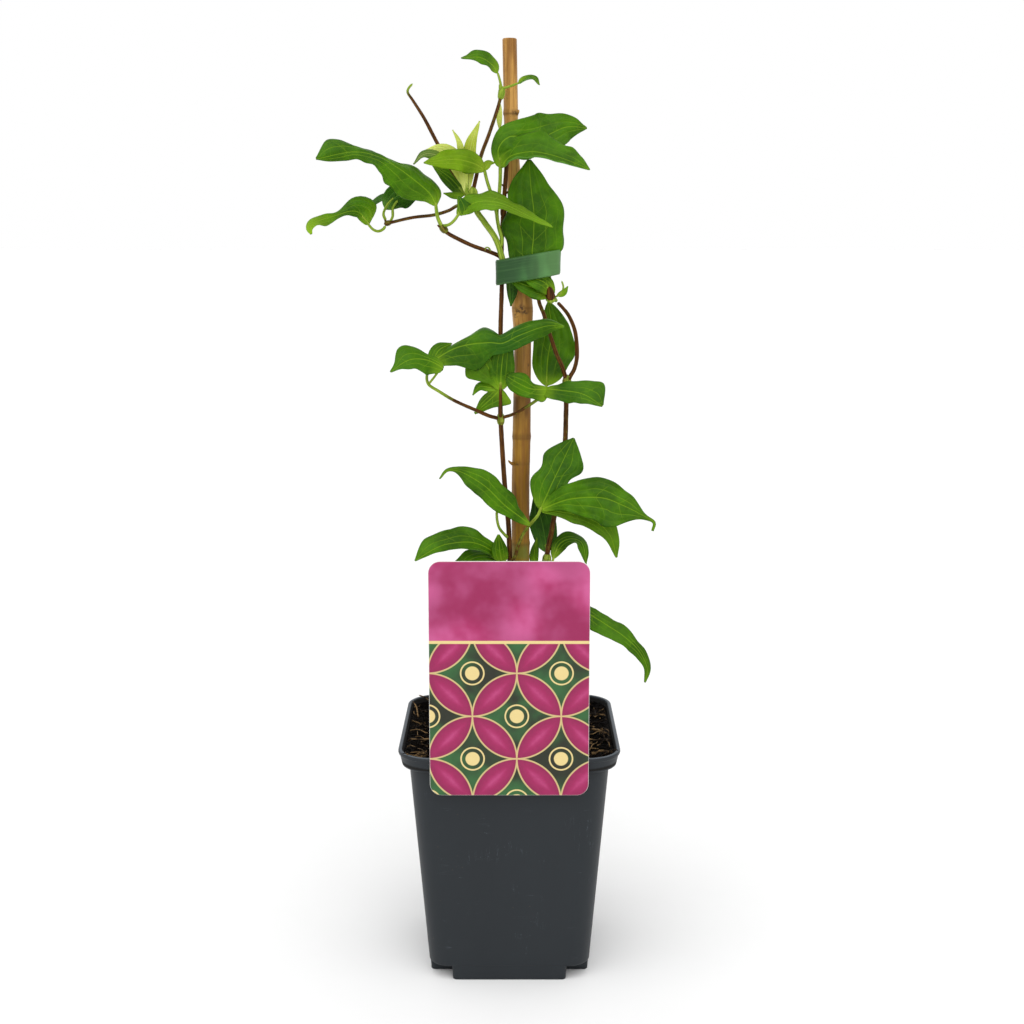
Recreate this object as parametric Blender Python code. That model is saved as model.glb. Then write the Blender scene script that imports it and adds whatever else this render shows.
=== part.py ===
"""A young clematis in a square nursery pot, tied to a bamboo cane, with a hanging card label.

Units are metres. Z is up, X runs to the right and Y runs away from the side that carries the label.
The origin is the middle of the pot's base, on the surface that the pot stands on.
"""

import math

import bmesh
import bpy
from mathutils import Matrix, Vector, noise

MM = 0.001
GAP = 0.3 * MM

# Pot
POT_HEIGHT = 100.0 * MM
RIM_HALF = 45.0 * MM
RIM_RADIUS = 13.9 * MM
LIP_HEIGHT = 2.2 * MM
BAND_HALF_TOP = 44.3 * MM
BAND_HALF_BOTTOM = 43.4 * MM
BAND_BOTTOM_Z = 93.2 * MM
BODY_HALF_TOP = 40.6 * MM
BODY_HALF_BOTTOM = 33.4 * MM
BODY_RADIUS_TOP = 11.0 * MM
BODY_RADIUS_BOTTOM = 9.0 * MM
FOOT_HEIGHT = 6.0 * MM
FOOT_HALF_WIDTH = 23.9 * MM
FOOT_TAPER = 0.4 * MM
WALL = 1.1 * MM
FLOOR = 1.6 * MM
DRAIN_RADIUS = 3.5 * MM
DRAIN_OFFSET = 27.0 * MM
CORNER_STEPS = 4

# Soil
SOIL_TOP_Z = 91.5 * MM
SOIL_BUMP = 2.4 * MM
SOIL_STEPS = 12

# Cane: height along the cane, sideways lean and radius
CANE_PROFILE = (
    (30.0, 4.5, 3.6),
    (171.0, 4.6, 3.75),
    (176.5, 4.6, 3.8),
    (178.5, 4.6, 4.0),
    (180.5, 4.6, 3.7),
    (204.5, 4.6, 3.75),
    (221.0, 5.0, 3.75),
    (223.0, 5.0, 4.0),
    (225.0, 5.0, 3.8),
    (262.0, 5.4, 3.5),
    (270.0, 5.4, 4.1),
    (274.5, 5.3, 4.4),
    (277.0, 5.2, 4.3),
    (299.0, 4.0, 3.6),
    (334.0, 1.3, 2.75),
    (350.5, 0.6, 2.8),
    (352.3, 0.6, 3.1),
    (354.0, 0.6, 2.85),
    (381.0, 0.1, 2.85),
)
CANE_SIDES = 12

# Tie: middle line of the tape loop in plan, round the cane and the stems, with its rise to the right
TIE_WIDTH = 9.9 * MM
TIE_THICKNESS = 0.7 * MM
TIE_HEIGHT = 292.0
TIE_MIDDLE_X = 7.2
TIE_RISE = 0.17
TIE_PLAN = (
    (-4.9, -6.5),
    (-4.4, -10.6),
    (0.4, -12.1),
    (8.2, -12.4),
    (15.4, -11.8),
    (19.7, -8.8),
    (19.6, -4.2),
    (15.0, 1.0),
    (8.8, 4.3),
    (4.3, 4.75),
    (0.4, 3.4),
    (-3.1, -1.5),
)
TIE_STEP = 2.4 * MM

# Label
LABEL_WIDTH = 63.0 * MM
LABEL_BOTTOM_Z = 85.3 * MM
LABEL_TOP_Z = 180.3 * MM
LABEL_BACK_Y = -45.4 * MM
LABEL_THICKNESS = 0.9 * MM
LABEL_RADIUS = 4.7 * MM
TONGUE_WIDTH = 12.0 * MM
TONGUE_THICKNESS = 0.9 * MM
TONGUE_TOP_Z = 102.0 * MM
TONGUE_Y = -34.0 * MM
TONGUE_BOTTOM_Z = 48.0 * MM

# Leaves
BLADE_THICKNESS = 0.7 * MM
BLADE_ROW_STEP = 4.6 * MM
BLADE_ROWS_LEAST = 4
BLADE_ROWS_MOST = 9
BLADE_NARROW = 3.0
BLADE_WIDEST = 0.42
STEM_SIDES = 1
STALK_SIDES = 1
PATH_STEP = 7.5 * MM

COLOURS = {
    "nursery_plastic": ((0.042, 0.05, 0.056), 0.45),
    "potting_mix": ((0.012, 0.008, 0.005), 0.95),
    "bamboo": ((0.5, 0.3, 0.1), 0.5),
    "tie_tape": ((0.07, 0.2, 0.08), 0.45),
    "label_card": ((0.5, 0.05, 0.18), 0.3),
    "brown_stem": ((0.14, 0.05, 0.02), 0.6),
    "green_stalk": ((0.2, 0.28, 0.03), 0.5),
    "leaf_green": ((0.07, 0.2, 0.015), 0.45),
    "leaf_dark": ((0.035, 0.11, 0.02), 0.45),
    "leaf_lime": ((0.24, 0.42, 0.015), 0.5),
    "leaf_pale": ((0.5, 0.6, 0.15), 0.5),
}


def clear_scene():
    """Remove whatever the scene holds."""
    for item in list(bpy.data.objects):
        bpy.data.objects.remove(item, do_unlink=True)


def material(name):
    """A plain shader for one of the plant's surfaces."""
    found = bpy.data.materials.get(name)
    if found:
        return found
    made = bpy.data.materials.new(name)
    made.use_nodes = True
    colour, roughness = COLOURS[name]
    shader = made.node_tree.nodes["Principled BSDF"]
    shader.inputs["Base Color"].default_value = (*colour, 1.0)
    shader.inputs["Roughness"].default_value = roughness
    shader.inputs["Metallic"].default_value = 0.0
    made.diffuse_color = (*colour, 1.0)
    return made


def add_object(name, mesh, slot):
    """Put a mesh into the scene as one object with its material."""
    made = bpy.data.objects.new(name, mesh)
    bpy.context.scene.collection.objects.link(made)
    mesh.materials.clear()
    mesh.materials.append(material(slot))
    return made


def mesh_from_bmesh(name, work):
    """Turn a bmesh into a mesh with its faces pointing out."""
    bmesh.ops.recalc_face_normals(work, faces=work.faces)
    mesh = bpy.data.meshes.new(name)
    work.to_mesh(mesh)
    work.free()
    return mesh


def smooth_shade(made):
    """Shade a round piece smooth, with its sharp edges kept."""
    made.data.shade_smooth()
    made.data.set_sharp_from_angle(angle=math.radians(40))


def join_solids(name, parts, slot, solver="MANIFOLD"):
    """Fuse overlapping closed solids into one body."""
    first = parts[0]
    if len(parts) > 1:
        group = bpy.data.collections.new(name + "_parts")
        bpy.context.scene.collection.children.link(group)
        for part in parts[1:]:
            for owner in part.users_collection:
                owner.objects.unlink(part)
            group.objects.link(part)
        fuse = first.modifiers.new("fuse", "BOOLEAN")
        fuse.operation = "UNION"
        fuse.operand_type = "COLLECTION"
        fuse.collection = group
        fuse.solver = solver
        bpy.context.view_layer.update()
    evaluated = first.evaluated_get(bpy.context.evaluated_depsgraph_get())
    mesh = bpy.data.meshes.new_from_object(evaluated)
    if len(parts) > 1:
        for part in parts[1:]:
            bpy.data.objects.remove(part, do_unlink=True)
        bpy.data.collections.remove(group)
    bpy.data.objects.remove(first, do_unlink=True)
    return add_object(name, mesh, slot)


def cut_away(body, cutters, solver="EXACT"):
    """Cut solids out of a body and drop the cutters."""
    for cutter in cutters:
        cutter.hide_render = True
        cutter.display_type = "WIRE"
        cut = body.modifiers.new("cut", "BOOLEAN")
        cut.operation = "DIFFERENCE"
        cut.object = cutter
        cut.solver = solver
    bpy.context.view_layer.update()
    evaluated = body.evaluated_get(bpy.context.evaluated_depsgraph_get())
    mesh = bpy.data.meshes.new_from_object(evaluated)
    body.modifiers.clear()
    body.data = mesh
    for cutter in cutters:
        bpy.data.objects.remove(cutter, do_unlink=True)
    return body


def smooth_route(points, step=PATH_STEP):
    """Sample a smooth curve through route points given in millimetres."""
    knots = [Vector(point) * MM for point in points]
    knots = [2 * knots[0] - knots[1]] + knots + [2 * knots[-1] - knots[-2]]
    samples = []
    for index in range(1, len(knots) - 2):
        before, start, end, after = knots[index - 1 : index + 3]
        count = max(1, math.ceil((end - start).length / step))
        for count_index in range(count):
            t = count_index / count
            samples.append(
                0.5
                * (
                    2 * start
                    + (end - before) * t
                    + (2 * before - 5 * start + 4 * end - after) * t**2
                    + (3 * start - before - 3 * end + after) * t**3
                )
            )
    samples.append(knots[-2])
    return samples


def stalk(points, radius_start, radius_end, slot="green_stalk", sides=STALK_SIDES, step=PATH_STEP):
    """A round stem along a route, thick at its first end. Radii are in millimetres."""
    samples = smooth_route(points, step)
    curve = bpy.data.curves.new("stalk", "CURVE")
    curve.dimensions = "3D"
    curve.bevel_depth = MM
    curve.bevel_resolution = sides
    curve.use_fill_caps = True
    spline = curve.splines.new("POLY")
    spline.points.add(len(samples) - 1)
    for index, (place, target) in enumerate(zip(samples, spline.points)):
        share = index / (len(samples) - 1)
        target.co = (*place, 1.0)
        target.radius = radius_start + (radius_end - radius_start) * share
    holder = bpy.data.objects.new("stalk", curve)
    bpy.context.scene.collection.objects.link(holder)
    bpy.context.view_layer.update()
    evaluated = holder.evaluated_get(bpy.context.evaluated_depsgraph_get())
    mesh = bpy.data.meshes.new_from_object(evaluated)
    bpy.data.objects.remove(holder, do_unlink=True)
    work = bmesh.new()
    work.from_mesh(mesh)
    bmesh.ops.remove_doubles(work, verts=work.verts, dist=0.00001)
    bmesh.ops.triangulate(work, faces=work.faces)
    work.to_mesh(mesh)
    work.free()
    return add_object("stalk", mesh, slot)


def egg_profile(share):
    """Half width of a plain egg-shaped, pointed blade, with its widest place a little below its middle."""
    power = math.log(0.5) / math.log(BLADE_WIDEST)
    body = max(0.0, math.sin(math.pi * min(max(share, 0.0), 1.0) ** power))
    tip = max(0.0, (share - 0.72) / 0.28)
    return body**0.75 * (1.0 - 0.4 * tip * (1.0 - tip))


def rib_stations(rib):
    """Evenly spaced places and directions along a leaf's midrib, more of them on a long leaf."""
    fine = smooth_route(rib, 0.5 * MM)
    lengths = [0.0]
    for before, after in zip(fine, fine[1:]):
        lengths.append(lengths[-1] + (after - before).length)
    rows = round(lengths[-1] / BLADE_ROW_STEP)
    rows = max(BLADE_ROWS_LEAST, min(BLADE_ROWS_MOST, rows))
    stations = []
    index = 0
    for row in range(rows + 1):
        wanted = lengths[-1] * row / rows
        while index < len(fine) - 2 and lengths[index + 1] < wanted:
            index += 1
        share = (wanted - lengths[index]) / (lengths[index + 1] - lengths[index])
        place = fine[index].lerp(fine[index + 1], min(1.0, share))
        stations.append((place, (fine[index + 1] - fine[index]).normalized()))
    return stations


def along(values, share):
    """Smooth value at a share of the length, from values evenly spaced from base to tip."""
    scaled = share * (len(values) - 1)
    index = min(int(scaled), len(values) - 2)
    t = scaled - index
    start = values[index]
    end = values[index + 1]
    before = values[index - 1] if index > 0 else 2.0 * start - end
    after = values[index + 2] if index + 2 < len(values) else 2.0 * end - start
    slope_start = (end - before) / 2.0
    slope_end = (after - start) / 2.0
    rise = end - start
    return start + slope_start * t + (3 * rise - 2 * slope_start - slope_end) * t**2 + (
        slope_start + slope_end - 2 * rise
    ) * t**3


def reach_of(widths, share):
    """Half width of a blade at a share of its length, from one largest width or a row of them."""
    if isinstance(widths, tuple):
        return max(0.3, along(widths, share))
    return max(0.3, widths * egg_profile(share))


def is_narrow(widths):
    """Whether a half of a blade stays under the narrow limit."""
    widest = max(widths) if isinstance(widths, tuple) else widths
    return widest < BLADE_NARROW


def blade(rib, face, left, right, turn=(0.0, 0.0), fold=(0.0, 0.0), wave=0.0, waves=2.0, slot="leaf_green"):
    """One leaf blade.

    rib: route of the midrib from stalk to tip, in millimetres.
    face: direction that the upper side faces.
    left, right: how far each half reaches, seen from above towards the tip, in millimetres. One number
        gives an egg shape, and a row of numbers gives the half width from base to tip.
    turn: roll about the rib, in degrees, evenly spaced from base to tip.
    fold: how far each half's edge is bent up from flat, in degrees.
    wave: height of the edge waves, in millimetres, and waves, how many there are.
    """
    stations = rib_stations(rib)
    rows = len(stations) - 1
    columns = 2 if is_narrow(left) and is_narrow(right) else 4
    upper = []
    lower = []
    work = bmesh.new()
    for row, (place, tangent) in enumerate(stations):
        share = row / rows
        hint = Vector(face)
        normal = (hint - tangent * hint.dot(tangent)).normalized()
        normal = Matrix.Rotation(math.radians(along(turn, share)), 3, tangent) @ normal
        side = normal.cross(tangent)
        upper.append([])
        lower.append([])
        for column in range(columns + 1):
            across = 1.0 - 2.0 * column / columns
            on_left = across > 0.0
            width = reach_of(left if on_left else right, share)
            bend = math.radians(fold[0] if on_left else fold[1]) * abs(across)
            flat = side * math.cos(bend) * across
            lift = normal * math.sin(bend) * abs(across)
            ripple = math.sin(2.0 * math.pi * waves * share + math.pi * on_left)
            swell = wave * math.sin(math.pi * share) * across**2 * ripple
            middle = place + ((flat + lift) * width + normal * swell) * MM
            upper[-1].append(work.verts.new(middle + normal * BLADE_THICKNESS / 2.0))
            lower[-1].append(work.verts.new(middle - normal * BLADE_THICKNESS / 2.0))
    for row in range(rows):
        for column in range(columns):
            for sheet, order in ((upper, 1), (lower, -1)):
                a = sheet[row][column]
                b = sheet[row][column + 1]
                c = sheet[row + 1][column + 1]
                d = sheet[row + 1][column]
                halves = ((a, b, c), (a, c, d)) if column < columns / 2 else ((a, b, d), (b, c, d))
                for corners in halves:
                    work.faces.new(corners[::order])
    border = [(0, column) for column in range(columns)]
    border += [(row, columns) for row in range(rows)]
    border += [(rows, column) for column in range(columns, 0, -1)]
    border += [(row, 0) for row in range(rows, 0, -1)]
    for (row, column), (next_row, next_column) in zip(border, border[1:] + border[:1]):
        a = upper[row][column]
        b = lower[row][column]
        c = lower[next_row][next_column]
        d = upper[next_row][next_column]
        work.faces.new((a, b, c))
        work.faces.new((a, c, d))
    return add_object("blade", mesh_from_bmesh("blade", work), slot)


def rounded_square(half_x, half_y, radius, height, steps=CORNER_STEPS):
    """Corner points of a rounded rectangle at a height, anticlockwise."""
    points = []
    for quarter in range(4):
        turn = quarter * math.pi / 2.0
        sign_x = 1.0 if quarter in (0, 3) else -1.0
        sign_y = 1.0 if quarter in (0, 1) else -1.0
        centre = Vector((sign_x * (half_x - radius), sign_y * (half_y - radius), height))
        for step in range(steps + 1):
            angle = turn + step * math.pi / 2.0 / steps
            points.append(centre + Vector((math.cos(angle), math.sin(angle), 0.0)) * radius)
    return points


def lofted_square(name, levels, slot):
    """A closed solid through rounded squares. Each level is a height, a half width and a corner radius."""
    work = bmesh.new()
    rings = []
    for height, half, radius in levels:
        rings.append([work.verts.new(point) for point in rounded_square(half, half, radius, height)])
    count = len(rings[0])
    for lower, upper in zip(rings, rings[1:]):
        for index in range(count):
            after = (index + 1) % count
            work.faces.new((lower[index], lower[after], upper[after], upper[index]))
    work.faces.new(rings[0][::-1])
    work.faces.new(rings[-1])
    return add_object(name, mesh_from_bmesh(name, work), slot)


def tapered_bar(half_x, half_y, bottom, top, taper, slot):
    """A block whose sides lean in by the taper at its bottom."""
    work = bmesh.new()
    bmesh.ops.create_cube(work, size=1.0)
    for vert in work.verts:
        low = vert.co.z < 0.0
        shrink = taper if low else 0.0
        vert.co.x = math.copysign(half_x - shrink, vert.co.x)
        vert.co.y = math.copysign(half_y - shrink, vert.co.y)
        vert.co.z = bottom if low else top
    return add_object("bar", mesh_from_bmesh("bar", work), slot)


def cylinder(radius, bottom, top, place, slot, sides=16):
    """An upright round solid."""
    work = bmesh.new()
    bmesh.ops.create_cone(
        work, cap_ends=True, segments=sides, radius1=radius, radius2=radius, depth=top - bottom
    )
    bmesh.ops.translate(work, verts=work.verts, vec=(place[0], place[1], (top + bottom) / 2.0))
    return add_object("cylinder", mesh_from_bmesh("cylinder", work), slot)


def body_half(height):
    """Outer half width of the pot's tapered body at a height."""
    share = (height - FOOT_HEIGHT) / (BAND_BOTTOM_Z - FOOT_HEIGHT)
    return BODY_HALF_BOTTOM + (BODY_HALF_TOP - BODY_HALF_BOTTOM) * share


def foot_bars(inset, bottom, slot):
    """The two crossed bars that stand below the pot's body."""
    long_half = BODY_HALF_BOTTOM - 0.1 * MM - inset
    short_half = FOOT_HALF_WIDTH - inset
    top = FOOT_HEIGHT + FLOOR + 1.0 * MM
    return [
        tapered_bar(long_half, short_half, bottom, top, FOOT_TAPER, slot),
        tapered_bar(short_half, long_half, bottom, top, FOOT_TAPER, slot),
    ]


def make_pot():
    """The pot: outer form less its hollow and its drain holes."""
    slot = "nursery_plastic"
    outer_levels = (
        (FOOT_HEIGHT, BODY_HALF_BOTTOM, BODY_RADIUS_BOTTOM),
        (BAND_BOTTOM_Z, BODY_HALF_TOP, BODY_RADIUS_TOP),
        (BAND_BOTTOM_Z + 0.4 * MM, BAND_HALF_BOTTOM, RIM_RADIUS - 1.2 * MM),
        (POT_HEIGHT - LIP_HEIGHT, BAND_HALF_TOP, RIM_RADIUS - 0.7 * MM),
        (POT_HEIGHT - LIP_HEIGHT + 0.3 * MM, RIM_HALF - 0.2 * MM, RIM_RADIUS - 0.2 * MM),
        (POT_HEIGHT - 0.5 * MM, RIM_HALF, RIM_RADIUS),
        (POT_HEIGHT, RIM_HALF - 0.9 * MM, RIM_RADIUS - 0.6 * MM),
    )
    outer = join_solids(
        "pot", [lofted_square("outer", outer_levels, slot)] + foot_bars(0.0, 0.0, slot), slot, "EXACT"
    )
    hollow = make_hollow(0.0, slot)
    drains = []
    for sign_x in (-1.0, 1.0):
        for sign_y in (-1.0, 1.0):
            place = (sign_x * DRAIN_OFFSET, sign_y * DRAIN_OFFSET)
            drains.append(cylinder(DRAIN_RADIUS, 0.0, 3.0 * FOOT_HEIGHT, place, slot))
    pot = cut_away(outer, [hollow] + drains)
    smooth_shade(pot)
    return pot


def make_hollow(inset, slot):
    """The space inside the pot, made smaller by the inset."""
    floor = FOOT_HEIGHT + FLOOR + inset
    levels = (
        (floor, body_half(floor) - WALL - inset, BODY_RADIUS_BOTTOM - WALL),
        (BAND_BOTTOM_Z + WALL, BODY_HALF_TOP - WALL - inset, BODY_RADIUS_TOP - WALL),
        (BAND_BOTTOM_Z + 2.0 * WALL, BAND_HALF_BOTTOM - WALL - inset, RIM_RADIUS - 2.3 * MM),
        (POT_HEIGHT - LIP_HEIGHT, BAND_HALF_TOP - WALL - inset, RIM_RADIUS - 1.8 * MM),
        (POT_HEIGHT + 1.0 * MM, BAND_HALF_TOP - WALL + 0.3 * MM - inset, RIM_RADIUS - 1.5 * MM),
    )
    space = lofted_square("space", levels, slot)
    return join_solids("hollow", [space] + foot_bars(WALL + inset, FLOOR + inset, slot), slot, "EXACT")


def soil_height(x, y):
    """Height of the lumpy top of the soil at a place in plan."""
    low = noise.noise(Vector((x, y, 0.0)) / (17.0 * MM))
    fine = noise.noise(Vector((x, y, 0.02)) / (6.0 * MM))
    return SOIL_TOP_Z + SOIL_BUMP * (0.7 * low + 0.45 * fine)


def make_soil(cutters):
    """The soil: the pot's hollow, less a gap, up to a lumpy top."""
    slot = "potting_mix"
    filling = make_hollow(GAP, slot)
    size = 2.0 * RIM_HALF
    work = bmesh.new()
    bmesh.ops.create_grid(work, x_segments=SOIL_STEPS, y_segments=SOIL_STEPS, size=RIM_HALF + 2.0 * MM)
    for vert in work.verts:
        vert.co.z = soil_height(vert.co.x, vert.co.y)
    raised = bmesh.ops.extrude_face_region(work, geom=work.faces[:])
    for item in raised["geom"]:
        if isinstance(item, bmesh.types.BMVert):
            item.co.z = SOIL_TOP_Z + size
    bmesh.ops.triangulate(work, faces=work.faces)
    air = add_object("air", mesh_from_bmesh("air", work), slot)
    soil = cut_away(filling, [air] + cutters)
    soil.name = "soil"
    return soil


def cane_solid(name, extra, bottom=None):
    """The cane, or a fatter copy of it."""
    work = bmesh.new()
    rings = []
    for height, lean, radius in CANE_PROFILE:
        ring = []
        for index in range(CANE_SIDES):
            angle = 2.0 * math.pi * index / CANE_SIDES
            reach = radius * MM + extra
            z = height * MM
            if bottom is not None and not rings:
                z = bottom
            ring.append(work.verts.new((lean * MM + reach * math.cos(angle), reach * math.sin(angle), z)))
        rings.append(ring)
    for lower, upper in zip(rings, rings[1:]):
        for index in range(CANE_SIDES):
            after = (index + 1) % CANE_SIDES
            work.faces.new((lower[index], lower[after], upper[after], upper[index]))
    work.faces.new(rings[0][::-1])
    work.faces.new(rings[-1])
    return add_object(name, mesh_from_bmesh(name, work), "bamboo")


def tie_line():
    """Closed middle line of the tape."""
    knots = [(x, y, TIE_HEIGHT + (x - TIE_MIDDLE_X) * TIE_RISE) for x, y in TIE_PLAN]
    around = knots[-2:] + knots + knots[:2]
    samples = smooth_route(around, TIE_STEP)
    start = min(range(len(samples)), key=lambda i: (samples[i] - Vector(knots[0]) * MM).length)
    finish = min(
        range(start + 5, len(samples)), key=lambda i: (samples[i] - Vector(knots[0]) * MM).length
    )
    return samples[start:finish]


def make_tie():
    """The tape: a closed band round the cane, stems and one leaf, tilted up to the right."""
    work = bmesh.new()
    line = tie_line()
    rings = []
    for index, place in enumerate(line):
        ahead = line[(index + 1) % len(line)]
        behind = line[index - 1]
        outward = (ahead - behind).cross(Vector((0.0, 0.0, 1.0))).normalized()
        ring = []
        for half, level in ((0.5, -0.5), (0.5, 0.5), (-0.5, 0.5), (-0.5, -0.5)):
            offset = outward * half * TIE_THICKNESS + Vector((0.0, 0.0, level * TIE_WIDTH))
            ring.append(work.verts.new(place + offset))
        rings.append(ring)
    for index, ring in enumerate(rings):
        after = rings[(index + 1) % len(rings)]
        for corner in range(4):
            follow = (corner + 1) % 4
            work.faces.new((ring[corner], ring[follow], after[follow], after[corner]))
    tie = add_object("tie", mesh_from_bmesh("tie", work), "tie_tape")
    smooth_shade(tie)
    return tie


def box(low, high, slot):
    """A block between two corners."""
    work = bmesh.new()
    bmesh.ops.create_cube(work, size=1.0)
    middle = (Vector(low) + Vector(high)) / 2.0
    extent = Vector(high) - Vector(low)
    for vert in work.verts:
        vert.co = middle + Vector((vert.co.x * extent.x, vert.co.y * extent.y, vert.co.z * extent.z))
    return add_object("box", mesh_from_bmesh("box", work), slot)


def tongue_blocks(extra, slot):
    """The strip that runs from the back of the card over the rim and down into the soil."""
    half = TONGUE_WIDTH / 2.0 + extra
    thick = TONGUE_THICKNESS / 2.0 + extra
    bridge = box(
        (-half, LABEL_BACK_Y - LABEL_THICKNESS / 2.0, TONGUE_TOP_Z - thick),
        (half, TONGUE_Y + thick, TONGUE_TOP_Z + thick),
        slot,
    )
    stake = box(
        (-half, TONGUE_Y - thick, TONGUE_BOTTOM_Z - extra),
        (half, TONGUE_Y + thick, TONGUE_TOP_Z + thick * 0.5),
        slot,
    )
    return bridge, stake


def make_label():
    """The card with rounded corners and its tongue."""
    slot = "label_card"
    half_height = (LABEL_TOP_Z - LABEL_BOTTOM_Z) / 2.0
    outline = rounded_square(LABEL_WIDTH / 2.0, half_height, LABEL_RADIUS, 0.0, 5)
    work = bmesh.new()
    middle = (LABEL_TOP_Z + LABEL_BOTTOM_Z) / 2.0
    front = [work.verts.new((p.x, LABEL_BACK_Y - LABEL_THICKNESS, middle + p.y)) for p in outline]
    face = work.faces.new(front)
    raised = bmesh.ops.extrude_face_region(work, geom=[face])
    for item in raised["geom"]:
        if isinstance(item, bmesh.types.BMVert):
            item.co.y = LABEL_BACK_Y
    card = add_object("card", mesh_from_bmesh("card", work), slot)
    return join_solids("label", [card, *tongue_blocks(0.0, slot)], slot, "EXACT")


# Stems: hand-chosen routes in millimetres, from the root upwards, and radii at both ends
STEM_LEFT = (
    (1.5, -7.0, 62.0),
    (1.5, -7.0, 95.0),
    (1.0, -7.0, 147.5),
    (0.0, -7.0, 179.0),
    (-0.5, -7.5, 189.5),
    (-2.0, -8.0, 206.0),
    (-3.5, -8.0, 231.0),
    (-3.5, -6.8, 245.0),
    (-3.5, -6.5, 267.0),
    (-3.0, -6.5, 285.0),
    (-3.0, -5.5, 301.5),
    (-2.4, -5.0, 313.5),
    (-1.0, -5.0, 333.0),
)
STEM_LEFT_RADII = (1.15, 0.8)
BRANCH_LEFT = (
    (-3.0, -6.2, 295.4),
    (-4.6, -7.2, 296.8),
    (-9.0, -9.5, 298.6),
    (-15.5, -12.0, 301.0),
    (-23.5, -14.0, 305.0),
    (-25.9, -14.8, 307.1),
)
STEM_RIGHT = (
    (13.0, 2.5, 62.0),
    (13.0, 2.5, 95.0),
    (13.5, 2.0, 136.5),
    (15.5, 1.0, 170.5),
    (17.5, 0.0, 183.0),
    (19.0, 0.0, 192.0),
    (21.5, 1.0, 207.0),
    (23.0, 2.0, 220.0),
    (23.3, 1.6, 232.0),
    (23.5, 0.0, 246.0),
)
STEM_RIGHT_RADII = (1.1, 0.95)
ARC_OUTER = (
    (23.5, 0.0, 245.5),
    (25.0, 0.5, 248.0),
    (26.6, 1.2, 250.8),
    (27.6, 2.0, 255.0),
    (27.6, 2.0, 260.0),
    (27.0, 1.0, 265.0),
    (25.8, 0.0, 269.0),
    (23.8, -1.5, 273.0),
    (21.4, -3.2, 276.0),
    (19.4, -4.7, 278.0),
)
ARC_INNER = (
    (23.5, 0.0, 245.5),
    (21.5, -1.5, 252.0),
    (19.0, -2.8, 257.5),
    (16.0, -4.2, 266.5),
    (14.0, -5.2, 273.0),
    (12.2, -6.0, 277.5),
    (11.6, -6.5, 280.5),
)
SHOOT_GREEN = (
    (-1.5, -8.9, 290.0),
    (-3.0, -9.4, 296.5),
    (-5.5, -10.5, 303.5),
    (-10.0, -11.0, 310.0),
    (-13.0, -11.5, 314.5),
    (-14.3, -12.0, 321.0),
)
THIN_RIGHT = (
    (-14.2, -12.0, 321.7),
    (-13.0, -11.5, 327.0),
    (-11.0, -10.5, 335.5),
    (-8.0, -9.0, 343.5),
    (-4.6, -7.0, 353.5),
    (-3.0, -6.0, 359.6),
)
THIN_LEFT = (
    (-16.3, -11.3, 321.6),
    (-18.5, -8.0, 325.0),
    (-23.0, -5.6, 330.5),
    (-29.0, -4.0, 341.5),
    (-33.5, -4.0, 350.0),
    (-38.0, -3.0, 357.0),
    (-40.0, -3.0, 360.0),
    (-39.6, -3.0, 361.8),
    (-38.0, -3.0, 363.5),
)
PETIOLE_FAR_LEFT = (
    (-15.4, -11.4, 315.6),
    (-20.0, -11.0, 316.2),
    (-24.0, -10.5, 314.2),
    (-30.0, -10.0, 312.5),
    (-38.5, -9.5, 311.5),
    (-48.2, -9.4, 309.3),
)
TOWARDS_VIEWER = (0.0, -1.0, 0.15)
HALF_UP = (0.0, -0.7, 0.7)


def make_stems():
    """The woody stems and the shoots that grow from them."""
    brown = "brown_stem"
    left = [stalk(STEM_LEFT, *STEM_LEFT_RADII, brown, STEM_SIDES), stalk(BRANCH_LEFT, 0.8, 0.75, brown)]
    join_solids("stem_left", left, brown)
    right = [
        stalk(STEM_RIGHT, *STEM_RIGHT_RADII, brown, STEM_SIDES),
        stalk(ARC_OUTER, 0.85, 0.75, brown),
        stalk(ARC_INNER, 0.85, 0.7, brown),
    ]
    join_solids("stem_right", right, brown)
    join_solids("shoot_green", [stalk(SHOOT_GREEN, 1.15, 1.15, "green_stalk", STEM_SIDES)], "green_stalk")
    join_solids("shoot_thin_right", [stalk(THIN_RIGHT, 0.8, 0.65, brown)], brown)
    join_solids("shoot_thin_left", [stalk(THIN_LEFT, 0.85, 0.4, brown)], brown)
    join_solids("petiole_far_left", [stalk(PETIOLE_FAR_LEFT, 0.65, 0.6, brown)], brown)


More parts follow.
